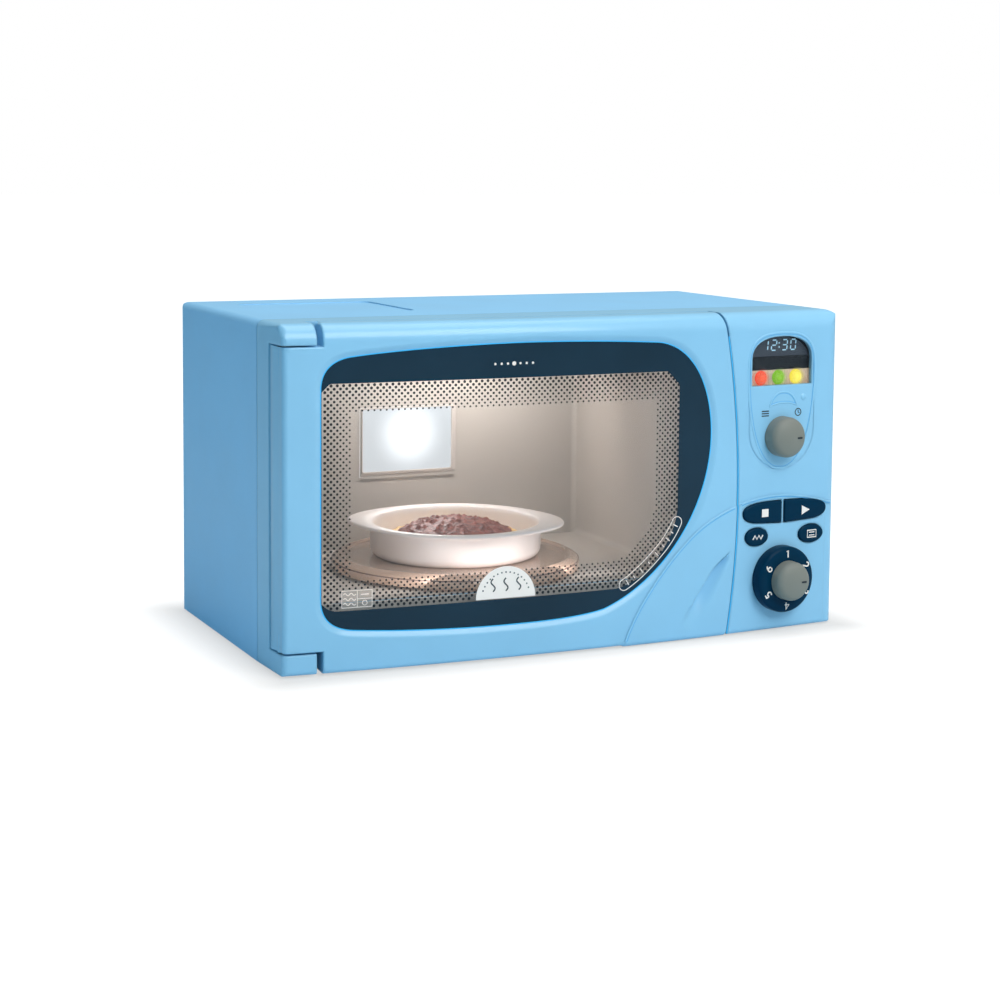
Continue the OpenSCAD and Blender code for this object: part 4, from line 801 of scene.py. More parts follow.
@dataclass
class DoorShell:
    """The bowed door moulding: one closed surface of rings from the window to the outer edge."""

    wall: float = 2.5
    depth: float = 17.2
    notch_x: float = -137.8
    notch_h: float = 10.9
    corner_x: float = -154.8
    corner_r: float = 3
    left_x: float = -158.4
    lip_w: float = 3.2
    lip_d: float = 1.6
    edge_r: float = 0.9
    inner_r: float = 9
    inner_depths: tuple[float, ...] = (14.6, 9.0)
    knuckle: tuple[float, float] = (-154.3, 7.0)
    knuckle_h: float = 9
    bore_r: float = 2.05
    knuckle_r: float = 3.6
    counts: tuple[int, ...] = (210, 150, 210, 12, 14, 100, 14, 10)
    lip_rows: int = 8
    face_rows: int = 46
    edge_turns: tuple[float, ...] = (25, 50, 72, 90)
    side_shares: tuple[float, ...] = (0.3, 0.65, 0.97)
    back_in: float = 0.35
    inside_rows: int = 16

    def loop(self, inset: float, unrolled: bool) -> Array:
        """The outer edge of the door, anticlockwise from the foot of the lower notch.

        Args:
            inset: How far it is drawn in.
            unrolled: True in the unrolled sheet, where the rounded top and corner count
                with their arc length, and False in the front view.

        Returns:
            The points, as many as the counts say.
        """
        quarter = TURN / 4
        if unrolled:
            top = FACE.height - FACE.top_r + FACE.top_r * quarter - inset
            foot = FACE.bottom_r - FACE.bottom_r * quarter + inset
            left = self.corner_x - self.corner_r * quarter + inset
        else:
            top, foot, left = FACE.height - inset, inset, self.left_x + inset
        notch = self.notch_x + inset
        high, low = FACE.height - self.notch_h - inset, self.notch_h + inset
        corners = [[notch, foot], [0, foot], [0, top], [notch, top], [notch, high], [left, high],
                   [left, low], [notch, low]]
        height_of = (lambda s: self.profile(s)[0]) if unrolled else (lambda s: s)
        corners[1][0] = float(FACE.door_edge(height_of(np.array(foot)), inset))
        corners[2][0] = float(FACE.door_edge(height_of(np.array(top)), inset))
        parts = []
        for i, count in enumerate(self.counts):
            a, b = np.array(corners[i]), np.array(corners[(i + 1) % 8])
            t = np.linspace(0, 1, count, endpoint=False)[:, None]
            part = a + (b - a) * t
            if i == 1:
                part[:, 0] = FACE.door_edge(height_of(part[:, 1]), inset)
            parts.append(part)
        return np.concatenate(parts)

    def profile(self, s: Array) -> tuple[Array, Array, Array]:
        """Follow the sheet round the foot and the top edge, each a quarter turn of its radius.

        Args:
            s: Lengths up the sheet.

        Returns:
            Height, depth behind the front and tilt at each length.
        """
        s = np.asarray(s, float)
        top = FACE.height - FACE.top_r
        up = np.clip((s - top) / FACE.top_r, 0, math.pi / 2)
        down = np.clip((FACE.bottom_r - s) / FACE.bottom_r, 0, math.pi / 2)
        z = np.clip(s, FACE.bottom_r, top) + FACE.top_r * np.sin(up) - FACE.bottom_r * np.sin(down)
        depth = FACE.top_r * (1 - np.cos(up)) + FACE.bottom_r * (1 - np.cos(down))
        return z, depth, up - down

    def sheet(self, t: Array, s: Array, sink: Array) -> Array:
        """Points of the unrolled sheet, sunk below it along its inward normal.

        Right of the corner the plan is the bowed arc, and left of it an arc of 3 mm that
        turns onto the side.

        Args:
            t: Lengths along the sheet.
            s: Lengths up the sheet.
            sink: Depths below it.

        Returns:
            Points with a last axis of 3.
        """
        z, depth, tilt = self.profile(s)
        x = np.maximum(t, self.corner_x)
        a = np.clip((self.corner_x - t) / self.corner_r, 0, math.pi / 2)
        root = FACE.y_at(x)
        nx, ny = -x / FACE.bow_r, (FACE.bow_y - root) / FACE.bow_r
        cx, cy = x + self.corner_r * nx, root + self.corner_r * ny
        dx, dy = nx * np.cos(a) + ny * np.sin(a), ny * np.cos(a) - nx * np.sin(a)
        reach = depth + sink * np.cos(tilt)
        x = cx - (self.corner_r - reach) * dx
        y = cy - (self.corner_r - reach) * dy
        return np.stack([x, y, z - sink * np.sin(tilt)], -1)

    def window_ring(self, edge: Array) -> tuple[Array, Array]:
        """The window's outline and its outward normals in the directions of the outer edge's points.

        Args:
            edge: The outer edge.

        Returns:
            A point of the outline and a unit normal for each point of the edge.
        """
        angle, around = (np.arctan2(*(line - WINDOW_MID).T[::-1]) for line in (edge, FACE.window))
        normal = -path_normals(FACE.window[::-1], True)[::-1]
        normal *= np.sign(((FACE.window - WINDOW_MID) * normal).sum(1, keepdims=True))
        order = np.argsort(around)
        hole, out = (np.stack([np.interp(angle, around[order], of[order, k], period=TURN)
                               for k in (0, 1)], -1) for of in (FACE.window, normal))
        return hole, out / np.linalg.norm(out, axis=1, keepdims=True)

    def build(self) -> None:
        """Lay the rings: lip, face, rounded edge, return, rim, inside, and back to the window."""
        edge = self.loop(0, True)
        hole, out = self.window_ring(edge)
        ends = np.cumsum(self.counts)
        index = np.arange(len(edge))
        rounded = ((index >= ends[0]) & (index < ends[1])) | ((index >= ends[2]) & (index < ends[4]))
        rounded |= index >= ends[5]
        left = (index >= ends[4]) & (index <= ends[5])
        rows = []
        for k in np.linspace(0, 1, self.lip_rows):
            at = hole + out * (self.lip_w * k)
            rows.append(self.sheet(*at.T, self.lip_d * (1 - k)**1.35 - self.shape(at)))
        start, stop = hole + out * self.lip_w, self.loop(self.edge_r, True)
        for k in np.linspace(0, 1, self.face_rows)[1:]:
            at = start + (stop - start) * k
            rows.append(self.sheet(*at.T, -self.shape(at)))
        for a in np.radians(self.edge_turns):
            at = self.loop(self.edge_r * (1 - math.sin(a)), True)
            rows.append(self.sheet(*at.T, self.edge_r * (1 - math.cos(a)) * rounded - self.shape(at)))
        last = rows[-1]
        back_x = np.where(left, self.left_x, last[:, 0] * (FACE.bow_r - self.depth) / FACE.bow_r)
        rim = self.back(back_x, last[:, 2])
        rows += [last + (rim - last) * k for k in self.side_shares]
        rows += [self.back(*self.loop(inset, False).T) for inset in (self.back_in, self.wall)]
        inner = self.loop(self.wall, False)
        rows += [FACE.sunk(*inner.T, depth) for depth in self.inner_depths]
        for k in np.linspace(0, 1, self.inside_rows):
            x, z = (inner + (hole - inner) * k).T
            over = np.clip(z - FACE.height + FACE.top_r, 0, self.inner_r - 0.5)
            depth = self.wall + self.inner_r - np.sqrt(self.inner_r**2 - over**2)
            rows.append(FACE.sunk(x, z, depth + FACE.pull_depth(x, z)))
        shell = Surface.grid(np.stack(rows), wrap_rows=True)
        shell.piece("door_shell", Body.DOOR, BLUE_DOOR, ("door_frame",), 38)

    def shape(self, at: Array) -> Array:
        """How far the face stands proud of the plain bow, the finger pull counted negative."""
        z = self.profile(at[:, 1])[0]
        return FACE.raised(at[:, 0], z) - FACE.pull_depth(at[:, 0], z)

    def back(self, x: Array, z: Array) -> Array:
        """Points on the back of the door, rounded about the hinge at the knuckle.

        Args:
            x: Places along the front.
            z: Heights.

        Returns:
            Points with a last axis of 3.
        """
        y = FACE.bow_y - np.sqrt((FACE.bow_r - self.depth)**2 - x**2)
        reach = self.depth - self.knuckle[1]
        off = np.clip(self.knuckle[0] - x, 0, reach - 0.1)
        turn = self.knuckle[1] + np.sqrt(reach**2 - off**2)
        return np.stack([x, np.where(off > 0, np.minimum(turn, y), y), z], -1)

    def bosses(self) -> None:
        """The two knuckles that turn on the hinge pins: a section turned about the hinge axis."""
        a = np.linspace(0, TURN, 40, endpoint=False)
        r = np.array([self.bore_r, self.knuckle_r, self.knuckle_r, self.bore_r])[:, None]
        high = np.array([0, 0, self.knuckle_h, self.knuckle_h])[:, None] + 0 * a
        x, y = self.knuckle
        rings = [np.stack([x + r * np.cos(a), y + r * np.sin(a), foot + high], -1)
                 for foot in (self.notch_h, FACE.height - self.notch_h - self.knuckle_h)]
        parts = [Surface.grid(ring, wrap_rows=True) for ring in rings]
        Surface.joined(parts).piece("door_knuckles", Body.DOOR, BLUE_DOOR)


@dataclass
class RaisedLine:
    """The moulded line that runs from the door's foot over the panel, and the seam it crosses."""

    gap: float = 0.7
    foot_z: float = 1.6
    end_x: float = 155.5
    bead_w: float = 1.1
    bead_h: float = 0.3
    shade_off: float = 0.75
    shade_w: float = 0.42
    seam_z: tuple[float, float] = (0.5, 158.0)
    seam_middle: float = 0.36
    seam_w: float = 0.6
    seam_sunk: float = 0.3

    def build(self) -> None:
        """Make the bead and its shade on the door and on the panel, and the strip in the seam, whose glow is
        painted light.
        """
        line = FACE.swoosh
        edge = FACE.door_edge(line[:, 1])
        door = (line[:, 1] > self.foot_z) & (line[:, 0] < edge - self.gap)
        panel = (line[:, 0] > edge + self.gap) & (line[:, 0] < self.end_x)
        for name, body, keep in (("door", Body.DOOR, door), ("panel", Body.CABINET, panel)):
            path = line[keep]
            bead = ridge(path, self.bead_w, self.bead_h, edge_place)
            bead.piece(f"{name}_raised_line", body, BLUE_DOOR, sharp_deg=60)
            # A darker line just below the bead: painted shade.
            below = path - self.shade_off * path_normals(path, False)
            rule(below, self.shade_w, edge_place, h=0.05).piece(f"{name}_line_shade", body, BLUE_SHADE)
        # The strip in the seam is the casing behind the gap; its glow is painted light that keeps the gap
        # bright.
        z = np.linspace(*self.seam_z, 150)
        seam = np.stack([FACE.door_edge(z) + self.seam_middle, z], -1)
        strip = rule(seam, self.seam_w, lambda u, v, h: face_place(u, v, h - self.seam_sunk), h=0.1)
        strip.piece("seam_floor", Body.CABINET, SEAM_PAINTED_GLOW)


@dataclass
class OvenLamp:
    """The lamp window in the oven's back wall, a pale lens in a bevelled frame, and the mouth's trim."""

    front: float = 144.6
    lens: tuple[Point, Point] = ((-61.6, 73.3), (-7.6, 108.7))
    rim: tuple[Point, Point] = ((-62.4, 71.5), (-4.7, 109.1))
    wall: tuple[Point, Point] = ((-62.6, 69.3), (-4.4, 109.3))
    lens_r: float = 1.2
    wall_r: float = 1.0
    bevel: float = 0.35
    opening: tuple[Point, Point] = ((-139.85, 30.15), (72.85, 145.85))
    opening_r: float = 2.85
    trim: float = 0.16
    trim_depths: tuple[float, float] = (18.4, 21.2)

    def place(self, u: Array, v: Array, h: Array) -> Array:
        """Points of the back wall, h towards the front."""
        u, v, h = np.broadcast_arrays(u, v, h)
        return np.stack([u, self.front - h, v], -1)

    def outline(self, box: tuple[Point, Point], r: float) -> Array:
        """A rectangle with round corners.

        Args:
            box: Its lower left and its upper right corner.
            r: Radius of the corners.

        Returns:
            The closed outline.
        """
        low, high = box
        x = (high[0] - r, low[0] + r, low[0] + r, high[0] - r)
        z = (high[1] - r, high[1] - r, low[1] + r, low[1] + r)
        return np.concatenate([circle(spot, r, 5, 90 * k, 90) for k, spot in enumerate(zip(x, z))])

    def mouth(self) -> None:
        """Line the mouth's edge in the front moulding with the oven's own colour.

        The band keeps the depths 18.4 to 21.2 below the bow: y = c - sqrt((r - d)^2 - x^2).
        """
        line = self.outline(self.opening, self.opening_r)
        normal = path_normals(line, True)
        rows = []
        near, far = self.trim_depths
        for deep, off in ((near, 0.0), (near, self.trim), (far, self.trim), (far, 0.0)):
            x, z = (line - normal * (off - self.trim)).T
            rows.append(np.stack([x, FACE.bow_y - np.sqrt((FACE.bow_r - deep)**2 - x**2), z], -1))
        Surface.grid(np.stack(rows), wrap_rows=True).piece("mouth_trim", Body.CABINET, CREAM, sharp_deg=30)

    def build(self) -> None:
        """Make the mouth's band, the lens, its bevelled frame and the wall round them."""
        self.mouth()
        lens, rim = self.outline(self.lens, self.lens_r), self.outline(self.rim, self.lens_r)
        wall = self.outline(self.wall, self.wall_r)
        lip = lens - self.bevel * path_normals(lens, True)
        plate = patch(lens, self.place, 0.5, 8)
        plate.piece("lamp_lens_plate", Body.CABINET, LAMP_LENS, ("lamp_window",))
        frame_lines = ((lens, 0.3), (lens, 0.9), (lip, 1.0), (rim, 0.5), (rim, -0.4), (lens, -0.4))
        wall_lines = ((rim, -0.3), (rim, 0.02), (wall, 0.02), (wall, -0.4), (rim, -0.4))
        for name, finish, lines in (("lamp_frame", LAMP_FRAME, frame_lines),
                                    ("lamp_wall", CREAM, wall_lines)):
            rows = np.stack([self.place(*line.T, h) for line, h in lines])
            Surface.grid(rows, wrap_rows=True).piece(name, Body.CABINET, finish, sharp_deg=20)


@dataclass
class WindowPrint:
    """What is printed on the window: the dark border, the dots and the white marks."""

    left: float = -138.3
    right: float = 56
    foot: float = 30
    top: float = 141
    border: float = 14.2
    pitch: float = 3.1
    dot_r: float = 0.82
    dot_fall: float = 0.32
    ink: float = 0.09
    disc: tuple[float, float] = (-42.5, 30.3)
    disc_r: float = 16.2
    disc_clear_r: float = 17
    box_middle: tuple[float, float] = (-120.5, 35.8)
    box_half: tuple[float, float] = (8.1, 4.8)
    box_x: tuple[float, float, float] = (-128.2, -120.4, -112.9)
    box_z: tuple[float, float, float] = (31.5, 35.6, 39.8)
    pill_half: float = 2.9

    def screen(self) -> Array:
        """Outline of the clear part, clockwise from its lower left corner: straight sides and curves.

        Returns:
            The closed outline.
        """
        curve = bezier([56, 70], [55, 58], [48, 47], [40, 39.5], 14)
        curve2 = bezier([40, 39.5], [35, 35], [28, 31.5], [20, 30], 10)
        corners = [[self.left, 34], [self.left, 137], [self.left + 4, 141], [49, 141], [56, 134]]
        foot = bezier([20, 30], [-40, 29.6], [-100, 30], [-131, 30], 12)
        low = bezier([-131, 30], [-134, 30.4], [-136, 31.5], [self.left, 34], 6)
        return np.concatenate([corners, curve, curve2, foot, low])

    def reach(self, outline: Array, angle: Array) -> Array:
        """Distance from the window's middle to a closed outline in each direction.

        Every side a + k (b - a) is met by the ray where the cross products agree. The
        nearest hit with k in 0 to 1 counts.

        Args:
            outline: The outline.
            angle: The directions in radians.

        Returns:
            The distances.
        """
        ray = np.stack([np.cos(angle), np.sin(angle)], -1)[:, None]
        a = outline[None] - WINDOW_MID
        d = (np.roll(outline, -1, 0) - outline)[None]
        cross = ray[..., 0] * d[..., 1] - ray[..., 1] * d[..., 0]
        cross = np.where(np.abs(cross) < 1e-12, 1e-12, cross)
        k = (a[..., 0] * ray[..., 1] - a[..., 1] * ray[..., 0]) / cross
        r = (a[..., 0] * d[..., 1] - a[..., 1] * d[..., 0]) / cross
        return np.where((k >= -1e-9) & (k <= 1 + 1e-9) & (r > 0), r, np.inf).min(1)

    def band(self) -> None:
        """The dark border between the window's edge and the clear part, in rings, and a glowing line at its
        outer edge, a painted highlight.
        """
        angle = np.linspace(-math.pi, math.pi, 900, endpoint=False)
        ray = np.stack([np.cos(angle), np.sin(angle)], -1)
        outer = self.reach(FACE.window, angle) - 0.3
        inner = np.minimum(self.reach(self.screen(), angle), outer - 0.25)
        # A glowing line round the window's edge: painted highlight where the recess's edge catches light.
        edge = rule(WINDOW_MID + ray * (outer + 0.12)[:, None], 0.5, window_place, True, 0.3)
        edge.piece("window_edge", Body.DOOR, SEAM_PAINTED_GLOW)
        rings = [(k, 0.05) for k in np.linspace(0, 1, 9)] + [(1, PRINT_FOOT), (0, PRINT_FOOT)]
        rows = [window_place(*(WINDOW_MID + ray * (inner + (outer - inner) * k)[:, None]).T, h)
                for k, h in rings]
        Surface.grid(np.stack(rows), wrap_rows=True).piece("window_border", Body.DOOR, NAVY)

    def dots(self) -> None:
        """Dots on a diamond lattice that shrink from the border's outside to its inside.

        A dot is an octagon of radius 0.82 - 0.32 d / border, d being its distance from the
        clear part's outline. Those past the border, under the half disc or in the box go.
        """
        rows = np.arange(self.foot, self.top, self.pitch / 2)
        cols = np.arange(self.left, self.right, self.pitch)
        x = cols[None, :] + (np.arange(len(rows)) % 2)[:, None] * self.pitch / 2
        spots = np.stack([x, np.broadcast_to(rows[:, None], x.shape)], -1).reshape(-1, 2)
        outline = self.screen()
        way = spots - WINDOW_MID
        angle = np.arctan2(way[:, 1], way[:, 0])
        inside = np.linalg.norm(way, axis=1) < self.reach(outline, angle) - 0.3
        a, d = outline[None], (np.roll(outline, -1, 0) - outline)[None]
        k = np.clip(((spots[:, None] - a) * d).sum(-1) / (d * d).sum(-1), 0, 1)
        far = np.linalg.norm(spots[:, None] - a - k[..., None] * d, axis=-1).min(1)
        boxed = (np.abs(spots - self.box_middle) < self.box_half).all(1)
        clear = (np.linalg.norm(spots - self.disc, axis=1) > self.disc_clear_r) & ~boxed
        keep = inside & (far < self.border) & clear
        spots, far = spots[keep], far[keep]
        r = self.dot_r - self.dot_fall * far / self.border
        turn = np.radians(22.5 + 45 * np.arange(8))
        u = spots[:, None, 0] + r[:, None] * np.cos(turn)
        v = spots[:, None, 1] + r[:, None] * np.sin(turn)
        points = np.stack([window_place(u, v, h) for h in (PRINT_FOOT, 0.05)], 1).reshape(-1, 3)
        ring = np.arange(8)
        side = np.stack([ring, (ring + 1) % 8, (ring + 1) % 8 + 8, ring + 8], -1)
        one = [*side.tolist(), list(range(7, -1, -1)), list(range(8, 16))]
        faces = [[16 * i + j for j in f] for i in range(len(spots)) for f in one]
        Surface(points, faces).piece("window_dots", Body.DOOR, DOTS)

    def line(self, path: Path, width: float, closed: bool = False) -> Surface:
        """A printed line on the window."""
        return rule(path, width, window_place, closed, self.ink)

    def marks(self) -> None:
        """The white marks: half disc, curved pill, symbol box and a row of dots on top."""
        disc = patch(circle(self.disc, self.disc_r, 49, 0, 180), window_place, self.ink, 8)
        disc.piece("window_half_disc", Body.DOOR, WHITE_PRINT)
        t = np.linspace(0, 1, 16)
        waves = [np.stack([x + 1.1 * np.sin(t * TURN), 34 + 6.5 * t], -1) for x in (-49.5, -42.5, -35.5)]
        dark = [rule(wave, 0.7, window_place, h=0.13) for wave in waves]
        spots = circle(self.disc, 13.2, 15, 20, 140)
        dark += [patch(circle(spot, 0.42, 8), window_place, 0.13, 2) for spot in spots]
        Surface.joined(dark).piece("window_half_disc_marks", Body.DOOR, DARK_PRINT)
        left, middle, right = self.box_x
        white = [self.pill()]
        white += [self.line([[start, z], [right, z]], 0.3)
                  for start, z in zip((left, middle, left), self.box_z)]
        white += [self.line([[x, 31.4], [x, 39.9]], 0.3) for x in self.box_x]
        t = np.linspace(0, 1, 17)
        white += [self.line(np.stack([-127.4 + 6.2 * t, z + 0.6 * np.sin(t * 2 * TURN)], -1), 0.45)
                  for z in (33.2, 35.6, 38)]
        white += [self.line([[-118.6, 37.7], [-114.6, 37.7]], 0.5),
                  self.line(circle((-116.6, 33.5), 1.2, 14), 0.35, True)]
        white += [patch(circle((-39 + 3.4 * k, 148.2), 0.62 if k else 1.1, 12), window_place, self.ink, 2)
                  for k in range(-3, 4)]
        Surface.joined(white).piece("window_marks", Body.DOOR, WHITE_PRINT)

    def pill(self) -> Surface:
        """Outline and ticks of the curved pill beside the lower right of the clear part.

        Its sides run 2.9 mm to the left and right of a middle line, and half circles join them.

        Returns:
            The lines in one surface.
        """
        line = np.concatenate([bezier([24.5, 31.6], [31, 35], [38, 40.5], [46, 48.5], 20),
                               bezier([46, 48.5], [50, 52.5], [53.5, 57.5], [55.6, 62], 16), [[55.6, 62]]])
        n = path_normals(line, False)
        tail, head = (math.degrees(math.atan2(*step[::-1]))
                      for step in (line[1] - line[0], line[-1] - line[-2]))
        half = self.pill_half
        loop = np.concatenate([line - half * n, circle(line[-1], half, 14, head - 90, 180)[1:-1],
                               (line + half * n)[::-1], circle(line[0], half, 14, tail + 90, 180)[1:-1]])
        parts = [self.line(loop, 0.42, True)]
        for i in range(2, len(line) - 1, 4):
            tick = (1.5 if i % 8 == 2 else 0.9) * n[i]
            parts.append(self.line(np.stack([line[i] - tick, line[i] + tick]), 0.5))
        return Surface.joined(parts)


@dataclass
class Knobs:
    """The turned knobs and the dial with its numbers."""

    timer_z: float = 103.6
    dial_z: float = 27.5
    number_r: float = 14.0
    number_size: float = 1.05
    number_w: float = 0.72

    def build(self) -> None:
        """Turn the three pieces from their profiles and print the marks."""
        timer = [[3, -12.6], [3, 0.3], [10.8, 0.3], [10.8, 2.6], *round_arc((6.6, 5.2), 4.15, 2, 66, 14),
                 [6, 9.9], [3, 10.5], [0, 10.7]]
        ring = [[3, -12.6], [3, 0.9], [17.7, 0.9], [17.8, 1.6], *round_arc((15.4, 5.6), 2.35, 6, 66, 10),
                [12.5, 8.05], [8, 8.1], [0, 8.1]]
        grip = [[0, 8.1], [10.5, 8.1], [10.4, 10.6], *round_arc((6.3, 11.9), 4.05, 2, 66, 14), [5.6, 16.2],
                [3, 16.65], [0, 16.85]]
        for name, body, z, profile, count, finish, node in (
                ("timer_knob_turned", Body.TIMER, self.timer_z, timer, 96, KNOB_GREY, "timer_knob"),
                ("dial_ring", Body.DIAL, self.dial_z, ring, 128, NAVY_MOULDING, "power_dial"),
                ("dial_grip", Body.DIAL, self.dial_z, grip, 96, KNOB_GREY, "power_grip")):
            turned(profile, at_panel(z), count).piece(name, body, finish, (node,), 60)
        for name, body, z, lift, h in (("dial_grip_mark", Body.DIAL, self.dial_z, 16.1, 0.62),
                                       ("timer_knob_mark", Body.TIMER, self.timer_z, 9.8, 0.75)):
            mark = rule([[3.0, 0], [6.2, 0]], 0.9, at_panel(z, lift), h=h)
            mark.piece(name, body, DARK_PRINT)
        self.numbers()

    def strokes(self) -> list[list[Path]]:
        """The pen strokes of the numbers 1 to 6, 3.6 mm tall about their middle.

        Returns:
            A list of strokes for each number.
        """
        return [
            [[[-0.75, 1.15], [0.15, 1.8], [0.15, -1.8]]],
            [np.concatenate([circle((0, 0.75), 1.05, 9, 165, -195), [[-1.1, -1.75]]]),
             [[-1.1, -1.75], [1.2, -1.75]]],
            [circle((0, 0.88), 0.92, 10, 150, -240), circle((0, -0.84), 0.98, 10, 90, -250)],
            [[[0.5, -1.8], [0.5, 1.8], [-1.25, -0.7], [1.2, -0.7]]],
            [[[0.95, 1.8], [-0.7, 1.8], [-0.85, 0.25]], circle((0, -0.66), 1.12, 13, 133, -275)],
            [circle((0, -0.68), 1.1, 20), [[0.5, 1.85], [-0.45, 0.95], [-1.02, -0.3]]],
        ]

    def numbers(self) -> None:
        """The numbers 1 to 6 round the dial, a sixth of a turn apart, their heads outwards."""
        parts = []
        for k, lines in enumerate(self.strokes()):
            a = -TURN / 6 * k
            turn = np.array([[math.cos(a), -math.sin(a)], [math.sin(a), math.cos(a)]])
            for line in lines:
                path = (np.asarray(line, float) * self.number_size + [0, self.number_r]) @ turn.T
                parts.append(rule(path, self.number_w, at_panel(self.dial_z, 8.0), h=0.16))
        Surface.joined(parts).piece("dial_numbers", Body.DIAL, WHITE_PRINT)


@dataclass
class Buttons:
    """The four push buttons: rounded caps that stand proud of the panel."""

    up: float = 1.8
    foot: float = -3.2
    edge_r: float = 0.9
    crown: float = 0.35
    symbol_lift: float = 0.28
    symbol_h: float = 0.12
    grill: tuple[float, float] = (-15.5, 50.7)
    oven: tuple[float, float] = (20.2, 49.9)

    def long_outline(self, x0: float, x1: float) -> Array:
        """Outline of a long button with a square inner and a rounded outer end.

        Args:
            x0: Its outer end.
            x1: Its inner end.

        Returns:
            The closed outline.
        """
        s = 1 if x0 > x1 else -1
        r = self.edge_r
        over = bezier([x0 - s * 15, 69.1], [x0 - s * 6, 68.6], [x0, 67.5], [x0, 63.6], 16)
        under = bezier([x0, 63.6], [x0, 60], [x0 - s * 4, 58.6], [x0 - s * 9, 58.2], 14)
        low = np.linspace([x0 - s * 9, 58.2], [x1 + s * r, 57.4], 12)
        corner = circle((x1 + s * r, 58.3), r, 5, 270, -90 * s)
        high = circle((x1 + s * r, 68.4), r, 5, 90 + 90 * s, -90 * s)
        top = np.linspace([x1 + s * 1.6, 69.3], [x0 - s * 15.5, 69.12], 12)
        return np.concatenate([over, under, low[:-1], corner, high, top])

    def cap(self, outline: Array, name: str, body: Body, node: str) -> None:
        """Loft a cap: straight sides, an edge rounded by 0.9 mm and a low crown.

        Ring k is the outline drawn in along its normals by the edge's cosine, then the
        rings shrink to the middle while the crown rises by the square of what is left.

        Args:
            outline: Outline of the cap in the panel's frame.
            name: Name of the piece.
            body: The body that carries it.
            node: The CAD node that it stands for.
        """
        normal = path_normals(outline, True)
        middle = outline.mean(0)
        normal *= np.sign(((outline - middle) * normal).sum()) or 1
        rows, heights = [outline, outline], [self.foot, self.up - self.edge_r]
        for a in np.radians([20, 40, 60, 80]):
            rows.append(outline - normal * self.edge_r * (1 - math.cos(a)))
            heights.append(self.up - self.edge_r + self.edge_r * math.sin(a))
        base, shoulder = rows[-1], heights[-1]
        for k in (0.15, 0.32, 0.5, 0.7, 0.88, 0.985):
            rows.append(base + (middle - base) * k)
            heights.append(shoulder + self.crown * (1 - (1 - k)**2))
        flat = np.stack(rows)
        high = np.broadcast_to(np.array(heights)[:, None], flat.shape[:2])
        made = Surface.grid(panel_place(flat[..., 0], flat[..., 1], high), cap_first=True, cap_last=True)
        made.piece(name, body, NAVY_MOULDING, (node,), 60)

    def build(self) -> None:
        """Make the four caps and their plain symbols."""
        oval = circle((0, 0), 1, 48)
        self.cap(self.long_outline(-24.3, 0.5), "stop_cap", Body.STOP, "stop_button")
        self.cap(self.long_outline(30, 2.3), "start_cap", Body.START, "start_button")
        self.cap(oval * [7.3, 4.8] + self.grill, "grill_cap", Body.GRILL, "grill_button")
        self.cap(oval * [8.1, 4.9] + self.oven, "oven_cap", Body.OVEN, "oven_button")
        proud = at_panel(0, self.up + self.symbol_lift)
        h = self.symbol_h
        square = np.array([[-1, -1], [1, -1], [1, 1], [-1, 1]]) * 2.1 + [-11, 63.4]
        arrow = np.array([[-2.3, -2.5], [2.9, 0], [-2.3, 2.5]]) + [15.5, 63.2]
        zig = np.array([[-3.2, -1], [-1.9, 1.1], [-0.6, -1], [0.7, 1.1], [2, -1], [3.2, 1.1]]) + self.grill
        box = np.array([[-2.9, -1.9], [2.9, -1.9], [2.9, 1.9], [-2.9, 1.9]]) + self.oven
        bars = [rule(box, 0.6, proud, True, h)]
        bars += [rule([[18.4, z], [22, z]], 0.5, proud, h=h) for z in (50.7, 49.1)]
        for name, body, symbol in (("stop", Body.STOP, patch(square, proud, h, 3)),
                                   ("start", Body.START, patch(arrow, proud, h, 3)),
                                   ("grill", Body.GRILL, rule(zig, 0.7, proud, h=h)),
                                   ("oven", Body.OVEN, Surface.joined(bars))):
            symbol.piece(f"{name}_symbol", body, WHITE_PRINT)


